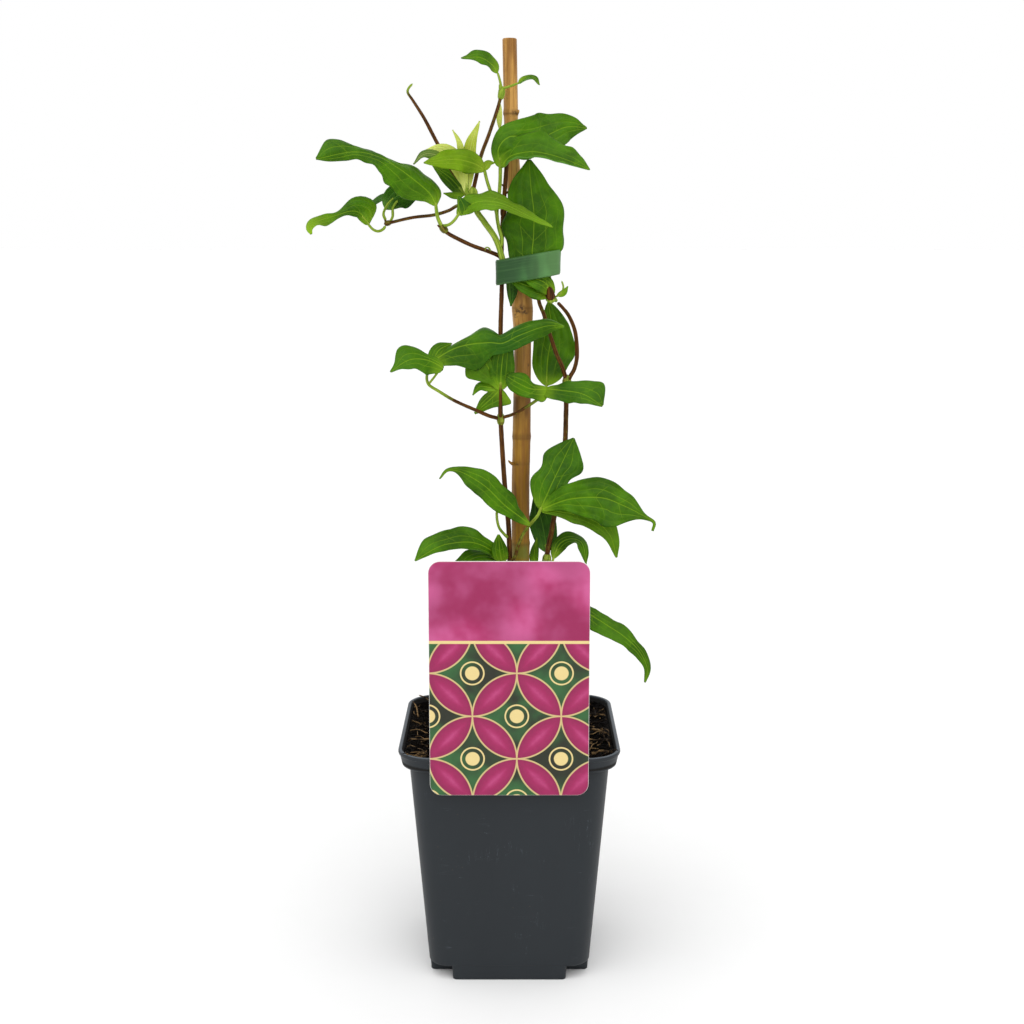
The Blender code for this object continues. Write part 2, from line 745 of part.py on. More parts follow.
def make_top_leaves():
    """Leaves above the tie."""
    join_solids(
        "leaf_tip_pair",
        [
            stalk([(-3.0, -6.0, 360.0), (-2.9, -6.0, 361.4), (-2.9, -6.1, 362.4)], 0.9, 0.7),
            stalk([(-3.0, -6.1, 361.4), (-3.7, -6.8, 364.5), (-4.6, -7.8, 367.5)], 0.5, 0.4),
            stalk([(-2.9, -6.1, 361.2), (0.5, -6.7, 362.2), (4.0, -7.2, 363.4)], 0.5, 0.4),
            blade(
                [(-4.4, -7.6, 367.0), (-7.0, -9.8, 370.2),
                 (-11.5, -12.6, 372.3), (-18.5, -16.0, 371.8)],
                HALF_UP, 2.8, 4.2, turn=(-20.0, 0.0), wave=0.3,
            ),
            blade(
                [(3.4, -7.2, 363.2), (6.5, -7.4, 364.8), (9.5, -8.2, 364.9), (11.8, -10.0, 362.3)],
                (0.0, -0.35, 0.94), 2.2, 2.2, fold=(25.0, 25.0),
            ),
        ],
        "leaf_green",
    )
    join_solids(
        "leaf_narrow_by_cane",
        [blade([(-3.9, -5.2, 356.4), (-3.9, -4.7, 350.0), (-3.6, -4.4, 344.5)], TOWARDS_VIEWER, 1.2, 1.2)],
        "leaf_pale",
    )
    join_solids(
        "leaf_pair_top_right",
        [
            stalk(
                [(-2.9, -10.3, 303.0), (-4.2, -10.3, 308.0), (-4.9, -9.8, 313.5), (-4.1, -9.4, 319.5),
                 (-3.6, -9.0, 325.5), (-3.5, -9.2, 331.5), (-3.6, -9.6, 335.0)],
                0.75, 0.7,
            ),
            blade(
                [(-3.6, -9.2, 331.0), (-4.2, -9.9, 338.0), (0.0, -9.2, 342.6), (7.0, -7.2, 342.6),
                 (14.0, -4.8, 343.2), (22.5, -2.0, 346.8), (31.0, 1.0, 346.8)],
                (0.0, -0.95, 0.3), (1.5, 3.3, 6.0, 9.4, 9.0, 5.4, 0.4), (1.5, 5.0, 8.0, 8.5, 7.0, 5.0, 0.4),
                wave=0.6,
            ),
            blade(
                [(-3.3, -9.6, 331.0), (0.5, -12.0, 335.0), (8.0, -15.0, 336.6), (15.0, -17.5, 335.6),
                 (23.0, -20.5, 333.0), (31.0, -24.0, 329.4)],
                (0.0, -0.85, 0.5), (2.0, 8.0, 8.6, 8.2, 6.4, 4.2, 0.4), (2.0, 6.0, 7.0, 7.0, 6.0, 4.0, 0.4),
                fold=(0.0, 45.0), wave=0.5,
            ),
        ],
        "leaf_green",
    )
    join_solids(
        "leaf_lime",
        [
            stalk(
                [(-5.3, -11.7, 314.5), (-6.8, -11.9, 320.0),
                 (-8.5, -12.8, 325.0), (-9.7, -14.2, 329.8)],
                0.65, 0.6,
            ),
            blade(
                [(-9.4, -14.2, 329.5), (-13.0, -16.5, 331.8),
                 (-21.0, -18.8, 333.6), (-33.0, -21.4, 332.2)],
                (0.0, -0.95, 0.3), 4.8, 4.6, wave=0.4,
            ),
            blade(
                [(-9.7, -14.2, 329.5), (-8.0, -13.2, 331.8), (-5.6, -12.6, 332.6)],
                HALF_UP, 2.0, 2.0, fold=(30.0, 30.0),
            ),
        ],
        "leaf_lime",
    )
    join_solids(
        "leaves_young_pale",
        [
            stalk([(-16.6, -13.2, 320.2), (-16.6, -13.2, 323.0), (-16.6, -13.2, 325.5)], 0.8, 0.6),
            blade(
                [(-16.4, -13.0, 321.0), (-16.0, -12.9, 330.0),
                 (-14.8, -13.0, 339.5), (-11.5, -12.8, 348.5)],
                TOWARDS_VIEWER, 2.9, 2.7, fold=(15.0, 15.0),
            ),
            blade(
                [(-17.2, -13.2, 321.0), (-18.4, -14.0, 333.5),
                 (-19.4, -14.6, 340.0), (-22.0, -15.2, 345.0)],
                TOWARDS_VIEWER, 2.1, 2.1, fold=(30.0, 30.0),
            ),
            blade(
                [(-16.8, -12.9, 323.0), (-20.0, -11.7, 331.5),
                 (-26.0, -11.2, 337.2), (-33.5, -12.8, 336.4)],
                TOWARDS_VIEWER, 3.2, 4.0, wave=0.4,
            ),
            blade(
                [(-19.3, -12.0, 330.0), (-26.0, -14.0, 334.6),
                 (-31.5, -15.4, 335.4), (-37.5, -18.0, 331.5)],
                (0.0, -0.6, 0.8), 2.2, 2.4, wave=0.4,
            ),
        ],
        "leaf_pale",
    )
    join_solids(
        "leaf_young_back",
        [
            stalk([(-15.9, -10.2, 319.5), (-17.5, -8.4, 321.0), (-20.0, -5.0, 323.5)], 0.6, 0.5),
            blade(
                [(-17.0, -8.9, 320.3), (-20.0, -5.0, 323.5),
                 (-24.0, -2.8, 327.5), (-30.5, -1.5, 332.0)],
                TOWARDS_VIEWER, 3.6, 3.4, wave=0.4,
            ),
            blade(
                [(-17.5, -8.4, 320.8), (-21.0, -8.6, 320.0), (-26.0, -8.6, 321.0)],
                TOWARDS_VIEWER, 1.4, 1.4,
            ),
        ],
        "leaf_green",
    )
    join_solids(
        "leaf_pair_upper_left",
        [
            stalk(
                [(-26.5, -15.2, 308.0), (-28.0, -15.8, 312.0),
                 (-28.6, -16.4, 316.5), (-30.0, -17.2, 321.5)],
                0.75, 0.6,
            ),
            stalk(
                [(-26.5, -15.2, 308.2), (-23.5, -15.8, 308.8),
                 (-21.0, -16.4, 311.0), (-18.5, -16.8, 315.0)],
                0.6, 0.5,
            ),
            blade(
                [(-24.0, -15.9, 321.5), (-32.5, -17.9, 325.0),
                 (-41.0, -20.2, 329.4), (-50.0, -23.2, 334.2),
                 (-60.0, -26.4, 336.0), (-73.5, -30.0, 333.3)],
                (0.0, -0.6, 0.8), (3.0, 8.4, 9.2, 7.2, 4.4, 2.7, 0.4), (3.0, 7.0, 8.0, 8.0, 7.0, 6.0, 0.5),
                turn=(-30.0, -28.0, -21.0, 0.0, -17.0, -60.0, -64.0), fold=(-25.0, -40.0), wave=0.4,
            ),
            blade(
                [(-20.5, -16.4, 312.6), (-15.0, -17.2, 316.4),
                 (-8.5, -18.0, 317.6), (-1.0, -18.4, 316.0),
                 (6.5, -18.6, 312.4), (17.0, -18.8, 307.8)],
                (0.0, -0.6, 0.8), (6.5, 5.8, 5.0, 4.5, 3.8, 2.2, 0.4), (1.0, 4.0, 5.0, 4.0, 2.5, 1.5, 0.4),
                turn=(50.0, 10.0, 0.0, 0.0, 0.0), wave=0.3,
            ),
        ],
        "leaf_green",
    )
    join_solids(
        "leaf_far_left",
        [
            stalk(
                [(-48.9, -9.8, 308.5), (-49.9, -9.9, 307.0),
                 (-52.0, -10.2, 306.2), (-54.2, -10.6, 307.2),
                 (-56.6, -11.0, 310.2), (-59.0, -11.8, 312.0)],
                0.6, 0.5,
            ),
            blade(
                [(-55.6, -10.9, 309.0), (-59.6, -12.0, 312.4),
                 (-66.5, -15.5, 313.4), (-72.0, -19.0, 311.7),
                 (-75.2, -21.6, 308.8), (-76.8, -23.4, 304.5)],
                HALF_UP, (1.5, 3.0, 4.0, 4.6, 4.4, 2.6, 0.4), (2.4, 6.0, 6.0, 5.0, 3.6, 2.2, 0.4),
                turn=(-50.0, -46.0, -20.0, -10.0, -20.0, -30.0, -30.0), fold=(0.0, -30.0), wave=0.3,
            ),
        ],
        "leaf_green",
    )
    join_solids(
        "leaf_pair_dark",
        [
            stalk(
                [(-48.8, -8.5, 310.2), (-49.9, -7.4, 313.0),
                 (-48.5, -5.0, 316.5), (-46.0, -3.0, 319.5)],
                0.55, 0.5,
            ),
            blade(
                [(-49.2, -6.2, 314.8), (-45.5, -3.0, 319.5), (-38.0, 0.5, 324.0), (-31.0, 3.0, 325.0)],
                TOWARDS_VIEWER, 5.0, 6.0, wave=0.5,
            ),
            blade([(-46.8, -3.6, 318.0), (-50.0, -1.6, 319.6), (-56.5, 1.0, 316.6)], HALF_UP, 2.5, 2.5),
        ],
        "leaf_dark",
    )


def make_tie_leaves():
    """The leaf that the tape holds and its small neighbours."""
    join_solids(
        "leaf_held_by_tie",
        [
            stalk(
                [(19.0, -5.3, 278.5), (18.2, -7.2, 279.6), (16.8, -9.4, 281.5), (14.5, -10.4, 285.0)],
                0.75, 0.6,
            ),
            blade(
                [(16.8, -9.6, 281.5), (12.8, -10.4, 288.0), (9.3, -10.6, 296.0), (9.6, -10.2, 304.0),
                 (9.8, -9.8, 313.0), (8.6, -9.2, 323.0), (7.8, -8.6, 334.0)],
                TOWARDS_VIEWER, (1.5, 4.5, 9.0, 12.2, 12.2, 8.4, 4.6, 0.6),
                (1.5, 4.5, 8.6, 12.2, 12.6, 9.6, 5.6, 0.6),
                fold=(-14.0, -14.0), wave=0.4, waves=1.5,
            ),
            blade(
                [(18.2, -9.4, 281.9), (13.0, -10.8, 286.6), (4.4, -10.6, 288.6)],
                (0.0, -0.9, 0.4), 4.6, 3.4,
            ),
            blade(
                [(17.0, -8.8, 281.2), (9.8, -9.8, 283.8), (0.5, -9.6, 287.0)],
                (0.0, -0.9, 0.4), 4.4, 3.6,
            ),
            stalk(
                [(17.8, -7.8, 280.2), (20.2, -8.6, 281.3), (21.6, -8.8, 284.0), (20.9, -8.4, 286.8)],
                0.4, 0.35,
            ),
            blade(
                [(19.0, -8.3, 280.9), (21.6, -9.0, 282.0), (23.4, -9.2, 284.6)],
                TOWARDS_VIEWER, 1.3, 1.3,
            ),
        ],
        "leaf_green",
    )
    join_solids(
        "leaf_dark_at_tie",
        [blade([(-0.4, -5.9, 289.5), (0.2, -6.0, 284.0), (0.6, -5.8, 276.5)], TOWARDS_VIEWER, 3.2, 1.4)],
        "leaf_dark",
    )


def make_middle_leaves():
    """Leaves at the middle node."""
    join_solids(
        "leaf_group_middle_left",
        [
            stalk(
                [(-5.4, -8.9, 231.9), (-8.2, -10.9, 232.9),
                 (-13.5, -12.6, 235.4), (-21.5, -14.5, 239.2),
                 (-28.0, -15.6, 243.2), (-32.3, -16.0, 246.3), (-32.6, -15.4, 250.5),
                 (-30.0, -14.2, 255.0)],
                0.75, 0.5,
            ),
            stalk([(-32.2, -16.0, 246.2), (-30.2, -17.0, 248.6), (-27.2, -18.0, 252.6)], 0.5, 0.45),
            blade(
                [(-26.0, -17.8, 252.6), (-32.5, -20.0, 256.0),
                 (-39.5, -23.0, 256.2), (-46.5, -27.0, 252.0)],
                (0.0, -0.85, 0.5), (2.5, 4.8, 6.8, 5.3, 4.1, 1.8, 0.4), (2.0, 2.5, 2.8, 5.2, 7.3, 4.6, 0.4),
                wave=0.6,
            ),
            blade(
                [(-30.5, -14.4, 255.2), (-23.0, -14.0, 259.6),
                 (-16.0, -14.2, 261.8), (-8.0, -14.4, 262.6),
                 (-2.5, -14.2, 262.4), (4.0, -13.4, 265.4), (14.5, -12.2, 269.0), (22.0, -11.2, 268.8)],
                (0.0, -0.9, 0.45), (1.0, 5.0, 7.0, 7.0, 5.5, 4.0, 0.4),
                (2.5, 8.0, 10.2, 4.8, 4.4, 4.3, 0.4),
                turn=(0.0, 0.0, 27.0, 27.0, 29.0, 37.0, 37.0), fold=(-55.0, -5.0), wave=0.4,
            ),
            blade(
                [(-31.2, -14.8, 252.0), (-28.5, -12.5, 259.0), (-23.0, -9.5, 262.0)],
                TOWARDS_VIEWER, 3.0, 3.0,
            ),
        ],
        "leaf_green",
    )
    join_solids(
        "leaf_pair_middle_right",
        [
            stalk(
                [(-1.6, -8.9, 232.3), (0.5, -9.6, 233.0), (4.0, -10.0, 234.6), (9.5, -9.6, 238.0),
                 (13.0, -9.0, 240.6), (15.4, -9.2, 243.6)],
                0.7, 0.6,
            ),
            stalk(
                [(13.6, -9.0, 241.2), (15.0, -4.5, 241.2), (15.2, 1.5, 242.8), (15.4, 5.0, 248.0)],
                0.6, 0.5,
            ),
            blade(
                [(14.6, -8.9, 243.6), (21.0, -12.0, 243.2), (29.5, -15.0, 242.0), (37.2, -18.0, 237.6)],
                (0.0, -0.88, 0.48), (1.0, 2.6, 4.6, 5.8, 7.5, 9.4, 1.5),
                (4.0, 4.6, 4.5, 5.0, 4.3, 2.3, 0.5),
                wave=0.5,
            ),
            blade(
                [(15.6, -9.1, 243.4), (8.8, -11.4, 243.8), (4.0, -12.8, 246.0), (-1.0, -13.4, 249.0)],
                (0.0, -0.92, 0.4), (4.0, 5.2, 4.6, 4.4, 4.4, 4.0, 1.4), (1.2, 1.8, 2.7, 4.2, 4.8, 4.0, 1.4),
                wave=0.3,
            ),
            blade(
                [(15.2, 2.6, 243.6), (15.8, 6.8, 254.0), (17.5, 8.6, 266.0), (16.0, 8.0, 278.0)],
                TOWARDS_VIEWER, 7.0, 10.2, wave=0.6,
            ),
        ],
        "leaf_green",
    )
    join_solids(
        "leaf_middle_on_stem",
        [
            stalk(
                [(-3.5, -10.2, 233.8), (-3.5, -10.4, 239.0),
                 (-3.5, -10.6, 244.0), (-3.4, -10.7, 247.0)],
                0.75, 0.6,
            ),
            blade(
                [(-3.5, -10.6, 243.0), (-3.2, -11.0, 251.0), (-2.0, -11.2, 259.5), (0.6, -10.4, 266.5)],
                TOWARDS_VIEWER, 4.6, 5.2, wave=0.4,
            ),
            blade(
                [(-3.5, -10.6, 243.0), (-8.5, -10.9, 252.5), (-15.0, -10.8, 263.0)],
                TOWARDS_VIEWER, (1.0, 2.5, 6.0, 9.0, 8.0, 5.0, 0.4), (1.0, 3.0, 5.0, 5.5, 5.0, 3.0, 0.4),
                wave=0.3,
            ),
            blade(
                [(-3.2, -10.3, 244.0), (-6.8, -10.0, 240.3),
                 (-10.0, -9.8, 237.4), (-14.0, -9.6, 233.6)],
                (0.0, -1.0, 0.05), (8.0, 7.0, 5.4, 3.6, 2.5, 1.5, 0.4), (2.0, 3.0, 3.0, 3.0, 2.5, 1.5, 0.4),
            ),
            blade(
                [(-4.5, -10.1, 243.5), (-8.5, -9.7, 244.2), (-12.0, -9.2, 244.4), (-14.8, -8.8, 241.0)],
                (0.0, -0.9, 0.4), 1.8, 2.2,
            ),
        ],
        "leaf_green",
    )


def make_low_leaves():
    """Leaves just above the label, and the one beside it."""
    join_solids(
        "leaf_group_low_front",
        [
            stalk(
                [(2.3, -8.4, 174.5), (3.6, -8.6, 179.0), (5.5, -8.4, 183.5), (8.2, -8.4, 187.5),
                 (11.5, -9.0, 191.5), (13.2, -9.5, 195.5)],
                0.75, 0.6,
            ),
            blade(
                [(8.8, -8.5, 187.8), (4.4, -12.0, 191.6), (-2.0, -14.4, 197.0), (-10.0, -15.6, 205.0),
                 (-19.0, -16.4, 210.6), (-24.5, -17.8, 211.6), (-28.0, -19.0, 208.4)],
                (0.0, -0.88, 0.48), (1.0, 2.8, 4.3, 5.0, 4.7, 1.0, 0.3),
                (1.0, 6.3, 6.8, 5.2, 4.8, 1.8, 0.3),
                wave=0.3,
            ),
            blade(
                [(12.6, -9.4, 194.2), (17.0, -8.6, 204.0), (21.5, -6.0, 213.0), (26.4, -3.8, 223.0)],
                (0.0, -1.0, 0.1), (2.0, 6.3, 8.8, 7.4, 7.8, 5.2, 0.4), (2.0, 6.0, 6.6, 6.4, 8.6, 6.0, 0.4),
                wave=0.6,
            ),
            blade(
                [(12.8, -9.4, 194.2), (24.0, -12.8, 199.0), (37.0, -15.8, 200.2), (46.5, -17.2, 197.0),
                 (54.5, -18.0, 193.0), (58.5, -18.2, 190.5), (57.8, -18.4, 187.0)],
                (0.0, -0.95, 0.3), (1.0, 5.0, 7.6, 7.6, 6.0, 1.2, 0.5),
                (1.0, 3.8, 7.5, 10.8, 9.2, 1.8, 0.5),
                wave=0.5,
            ),
            blade(
                [(12.8, -9.2, 194.0), (25.0, -9.4, 192.5), (35.5, -9.8, 189.0),
                 (41.5, -10.4, 183.0), (44.0, -11.0, 174.5)],
                (0.0, -0.9, 0.4), (1.0, 2.0, 3.5, 4.6, 4.8, 3.0, 0.4), (1.0, 2.0, 3.5, 4.0, 3.4, 2.2, 0.4),
                wave=0.3,
            ),
        ],
        "leaf_green",
    )
    join_solids(
        "leaf_low_back",
        [
            stalk([(15.7, 3.1, 171.8), (15.6, 4.5, 174.0), (15.3, 6.0, 177.0)], 0.6, 0.5),
            blade(
                [(15.6, 4.4, 173.6), (15.0, 7.0, 179.0), (13.5, 8.5, 186.5), (10.5, 9.0, 197.0)],
                TOWARDS_VIEWER, 5.4, 6.0, wave=0.5,
            ),
        ],
        "leaf_dark",
    )
    join_solids(
        "leaf_low_right",
        [
            stalk([(17.9, 0.6, 170.4), (18.8, 1.4, 173.5), (20.0, 1.6, 176.0)], 0.55, 0.5),
            blade(
                [(18.2, 0.8, 171.5), (20.8, 1.6, 177.4), (25.5, 0.5, 180.0),
                 (30.2, -2.0, 178.5), (31.8, -5.5, 170.5)],
                (0.3, -0.6, 0.75), 3.6, 3.6, wave=0.4,
            ),
        ],
        "leaf_green",
    )
    join_solids(
        "leaf_low_narrow",
        [
            stalk([(13.9, 2.3, 162.6), (11.6, 3.6, 164.6), (10.6, 3.8, 168.5)], 0.5, 0.45),
            blade([(10.7, 3.7, 166.5), (10.4, 3.9, 172.5), (11.6, 3.9, 180.0)], TOWARDS_VIEWER, 1.9, 1.9),
        ],
        "leaf_green",
    )
    join_solids(
        "leaves_low_left",
        [
            stalk([(-1.0, -7.9, 169.3), (-2.8, -9.0, 171.6), (-5.0, -10.2, 175.4)], 0.7, 0.6),
            blade(
                [(-3.0, -9.4, 172.4), (-8.0, -11.4, 178.0),
                 (-15.5, -13.8, 181.4), (-24.0, -16.4, 181.4),
                 (-30.0, -18.4, 179.8), (-38.0, -22.0, 175.4)],
                (0.0, -0.87, 0.5), (1.5, 4.0, 5.5, 6.0, 5.5, 3.0, 0.4), (1.5, 3.2, 4.8, 7.2, 5.6, 5.2, 0.4),
                fold=(45.0, 0.0), wave=0.3,
            ),
            blade(
                [(-2.8, -9.2, 171.6), (-9.0, -11.4, 175.0), (-16.0, -13.4, 174.0),
                 (-22.0, -15.4, 168.0), (-25.0, -17.0, 160.0)],
                (0.0, -0.6, 0.8), 5.0, 5.0, wave=0.5,
            ),
            blade(
                [(-2.8, -9.4, 172.0), (-3.8, -11.4, 177.0), (-4.4, -12.4, 184.5)],
                TOWARDS_VIEWER, (1.0, 3.0, 3.6, 3.4, 2.2, 0.5), (1.0, 2.8, 3.4, 3.2, 2.0, 0.5),
                fold=(20.0, 20.0),
            ),
        ],
        "leaf_green",
    )
    join_solids(
        "leaf_beside_label",
        [
            stalk(
                [(15.9, 0.6, 150.0), (18.5, -3.0, 152.6), (22.0, -8.0, 155.6), (26.5, -13.2, 157.0),
                 (30.0, -15.8, 155.0)],
                0.7, 0.6,
            ),
            blade(
                [(23.0, -9.8, 156.2), (32.0, -17.0, 152.6), (39.5, -20.8, 148.6), (46.5, -23.4, 144.4),
                 (52.5, -25.2, 138.8), (55.8, -26.2, 132.0), (55.0, -26.4, 126.0)],
                (0.1, -0.8, 0.6), (2.0, 3.2, 3.4, 3.9, 3.0, 2.2, 0.4), (2.0, 4.6, 5.2, 4.6, 3.4, 2.0, 0.4),
                turn=(0.0, 0.0, 0.0, -20.0), wave=0.3,
            ),
        ],
        "leaf_green",
    )
    join_solids(
        "stalk_low_curled",
        [
            stalk(
                [(-1.35, -8.1, 183.0), (-4.0, -9.8, 186.5), (-5.0, -10.6, 190.5), (-4.9, -10.8, 194.0),
                 (-3.0, -10.6, 195.2)],
                0.55, 0.5,
            ),
        ],
        "green_stalk",
    )


def make_holes():
    """Fatter copies of what stands in the soil, to cut its holes."""
    slot = "potting_mix"
    cane_hole = cane_solid("cane_hole", GAP, CANE_PROFILE[0][0] * MM - GAP)
    stem_holes = []
    for route, radii in ((STEM_LEFT, STEM_LEFT_RADII), (STEM_RIGHT, STEM_RIGHT_RADII)):
        deeper = (route[0][0], route[0][1], route[0][2] - GAP / MM)
        radius = radii[0] + GAP / MM
        stem_holes.append(stalk((deeper, route[1], route[2]), radius, radius, slot, STEM_SIDES))
    stake_hole = tongue_blocks(GAP, slot)
    bpy.data.objects.remove(stake_hole[0], do_unlink=True)
    return [cane_hole, *stem_holes, stake_hole[1]]


def main():
    """Build the whole plant."""
    clear_scene()
    make_pot()
    make_soil(make_holes())
    cane = cane_solid("cane", 0.0)
    smooth_shade(cane)
    make_tie()
    make_label()
    make_stems()
    make_top_leaves()
    make_tie_leaves()
    make_middle_leaves()
    make_low_leaves()


main()
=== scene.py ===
"""Dressing of a young potted clematis on a bamboo cane, with a hanging card.

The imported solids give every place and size. Each class below holds one sub-assembly's sizes, builds
its finer meshes in the same frame and dresses them in materials made of shader nodes. Lengths in the
tables are millimetres and are turned to metres where a mesh is made. The Y axis runs away from the viewer.
"""

from __future__ import annotations

import logging
import math
from collections.abc import Sequence
from dataclasses import dataclass, field
from enum import Enum
from functools import reduce

import bpy
import numpy as np
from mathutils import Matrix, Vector, noise


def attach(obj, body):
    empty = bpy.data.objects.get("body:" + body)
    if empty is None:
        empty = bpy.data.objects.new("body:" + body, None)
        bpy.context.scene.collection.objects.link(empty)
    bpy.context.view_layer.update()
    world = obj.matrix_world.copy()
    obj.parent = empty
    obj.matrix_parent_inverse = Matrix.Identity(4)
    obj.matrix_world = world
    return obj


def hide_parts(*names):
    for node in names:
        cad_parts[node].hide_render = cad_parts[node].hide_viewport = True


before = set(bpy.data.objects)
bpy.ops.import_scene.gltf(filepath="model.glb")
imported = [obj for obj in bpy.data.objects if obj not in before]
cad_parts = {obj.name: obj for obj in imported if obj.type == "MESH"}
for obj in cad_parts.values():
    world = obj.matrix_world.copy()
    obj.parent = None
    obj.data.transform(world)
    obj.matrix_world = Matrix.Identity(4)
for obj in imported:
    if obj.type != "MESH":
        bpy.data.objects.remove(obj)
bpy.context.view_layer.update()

LOG = logging.getLogger("clematis")
MM = 0.001
BODY = "root"

Array = np.ndarray
Material = bpy.types.Material
Mesh = bpy.types.Mesh
Node = bpy.types.Node
Object = bpy.types.Object
Socket = bpy.types.NodeSocket
Point = tuple[float, float, float]
Ends = tuple[Point, Point]
Route = Sequence[Point]
Widths = float | tuple[float, ...]
Inputs = dict[int | str, object]
TOWARDS_VIEWER: Point = (0, -1, 0.15)
HALF_UP: Point = (0, -0.7, 0.7)
FULL_TURN = 2 * math.pi
CURVE_STEPS = 48


# Node trees and colours


def srgb(code: str) -> tuple[float, float, float, float]:
    """Turn an sRGB hex colour into linear values.

    Args:
        code: a hash and six hex digits.

    Returns:
        Linear red, green, blue and a full alpha.
    """
    values = (int(code[start : start + 2], 16) / 255 for start in (1, 3, 5))
    linear = (value / 12.92 if value <= 0.04045 else ((value + 0.055) / 1.055) ** 2.4 for value in values)
    return (*linear, 1)


class NodeSheet:
    """A node tree, with short ways to write arithmetic on its sockets."""

    def __init__(self, tree: bpy.types.NodeTree) -> None:
        """Start on a tree."""
        self.tree = tree

    def feed(self, node: Node, inputs: Inputs) -> None:
        """Give a node's inputs their values and links.

        Args:
            node: the node.
            inputs: a value, or another node's output, for each input by index or name.
        """
        for key, value in inputs.items():
            if isinstance(value, Socket):
                self.tree.links.new(value, node.inputs[key])
            else:
                node.inputs[key].default_value = value

    def add(self, kind: str, inputs: Inputs | None = None, **settings: object) -> Node:
        """Add a node with its settings, values and links.

        Args:
            kind: Blender's name for the type of node.
            inputs: its values and links.
            settings: attributes of the node.

        Returns:
            The new node.
        """
        node = self.tree.nodes.new(kind)
        for name, value in settings.items():
            setattr(node, name, value)
        self.feed(node, inputs or {})
        return node

    def math(self, operation: str, *values: object) -> Socket:
        """Arithmetic on numbers or sockets."""
        return self.add("ShaderNodeMath", dict(enumerate(values)), operation=operation).outputs[0]

    def vector(self, operation: str, *values: object) -> Socket:
        """Arithmetic on vectors."""
        return self.add("ShaderNodeVectorMath", dict(enumerate(values)), operation=operation).outputs[0]


class ShaderSheet(NodeSheet):
    """A material's node tree, with the patterns and masks that the finishes are made of."""

    def __init__(self, name: str) -> None:
        """Make a material that holds one Principled shader.

        Args:
            name: the material's name.
        """
        self.material = bpy.data.materials.new(name)
        self.material.use_nodes = True
        super().__init__(self.material.node_tree)
        self.tree.nodes.clear()
        self.shader = self.add("ShaderNodeBsdfPrincipled")
        self.add("ShaderNodeOutputMaterial", {0: self.shader.outputs[0]})

    def product(self, *values: object) -> Socket:
        """All the values multiplied."""
        return reduce(lambda total, value: self.math("MULTIPLY", total, value), values)

    def length(self, x: object, y: object) -> Socket:
        """Length of a flat vector."""
        return self.math("SQRT", self.math("MULTIPLY_ADD", x, x, self.product(y, y)))

    def gap(self, value: object, middle: object) -> Socket:
        """How far a value is from a middle."""
        return self.math("ABSOLUTE", self.math("SUBTRACT", value, middle))

    def band(self, value: object, edge: float, middle: float = 0) -> Socket:
        """A soft mask: 1 at and beyond the middle value, 0 past the edge value."""
        ends = {0: value, 1: middle, 2: edge, 3: 1, 4: 0}
        return self.add("ShaderNodeMapRange", ends, interpolation_type="SMOOTHSTEP").outputs[0]

    def layers(self, ground: object, *coats: tuple[object, object]) -> Socket:
        """Lay colours over a ground.

        Args:
            ground: a socket or a hex colour.
            coats: a share and a colour for each, from below.

        Returns:
            The colour that is seen.
        """
        for share, coat in coats:
            first, second = (srgb(one) if isinstance(one, str) else one for one in (ground, coat))
            ground = self.add("ShaderNodeMix", {0: share, 6: first, 7: second}, data_type="RGBA").outputs[2]
        return ground

    def attribute(self, name: str) -> list[Socket]:
        """A vector stored on the mesh, and its three numbers."""
        stored = self.add("ShaderNodeAttribute", attribute_name=name).outputs["Vector"]
        return [stored, *self.add("ShaderNodeSeparateXYZ", {0: stored}).outputs]

    def place(self, scale: Point = (1, 1, 1)) -> Socket:
        """Object coordinates in millimetres, stretched by a scale."""
        inputs = {0: self.add("ShaderNodeTexCoord").outputs["Object"], 3: tuple(part / MM for part in scale)}
        return self.add("ShaderNodeMapping", inputs, vector_type="POINT").outputs[0]

    def noise(self, where: object, scale: float = 1, detail: float = 3, rough: float = 0.55) -> Socket:
        """Noise from 0 to 1."""
        inputs = {"Vector": where, "Scale": scale, "Detail": detail, "Roughness": rough}
        return self.add("ShaderNodeTexNoise", inputs).outputs[0]

    def cells(self, where: object, scale: float, feature: str = "DISTANCE_TO_EDGE") -> Socket:
        """Distance inside a pattern of cells."""
        node = self.add("ShaderNodeTexVoronoi", {"Vector": where, "Scale": scale}, feature=feature)
        return node.outputs["Distance"]

    def relief(self, height: object, depth: float, strength: float = 1) -> None:
        """Bump the surface by a height of 0 to 1 that stands for a depth in millimetres."""
        bump = self.add("ShaderNodeBump", {"Height": height, "Strength": strength, "Distance": depth * MM})
        self.feed(self.shader, {"Normal": bump.outputs[0]})

    def finish(self, **sockets: object) -> Material:
        """Set the shader's inputs, written with underscores for spaces, and return the material."""
        self.feed(self.shader, {key.replace("_", " "): value for key, value in sockets.items()})
        return self.material


# Finishes


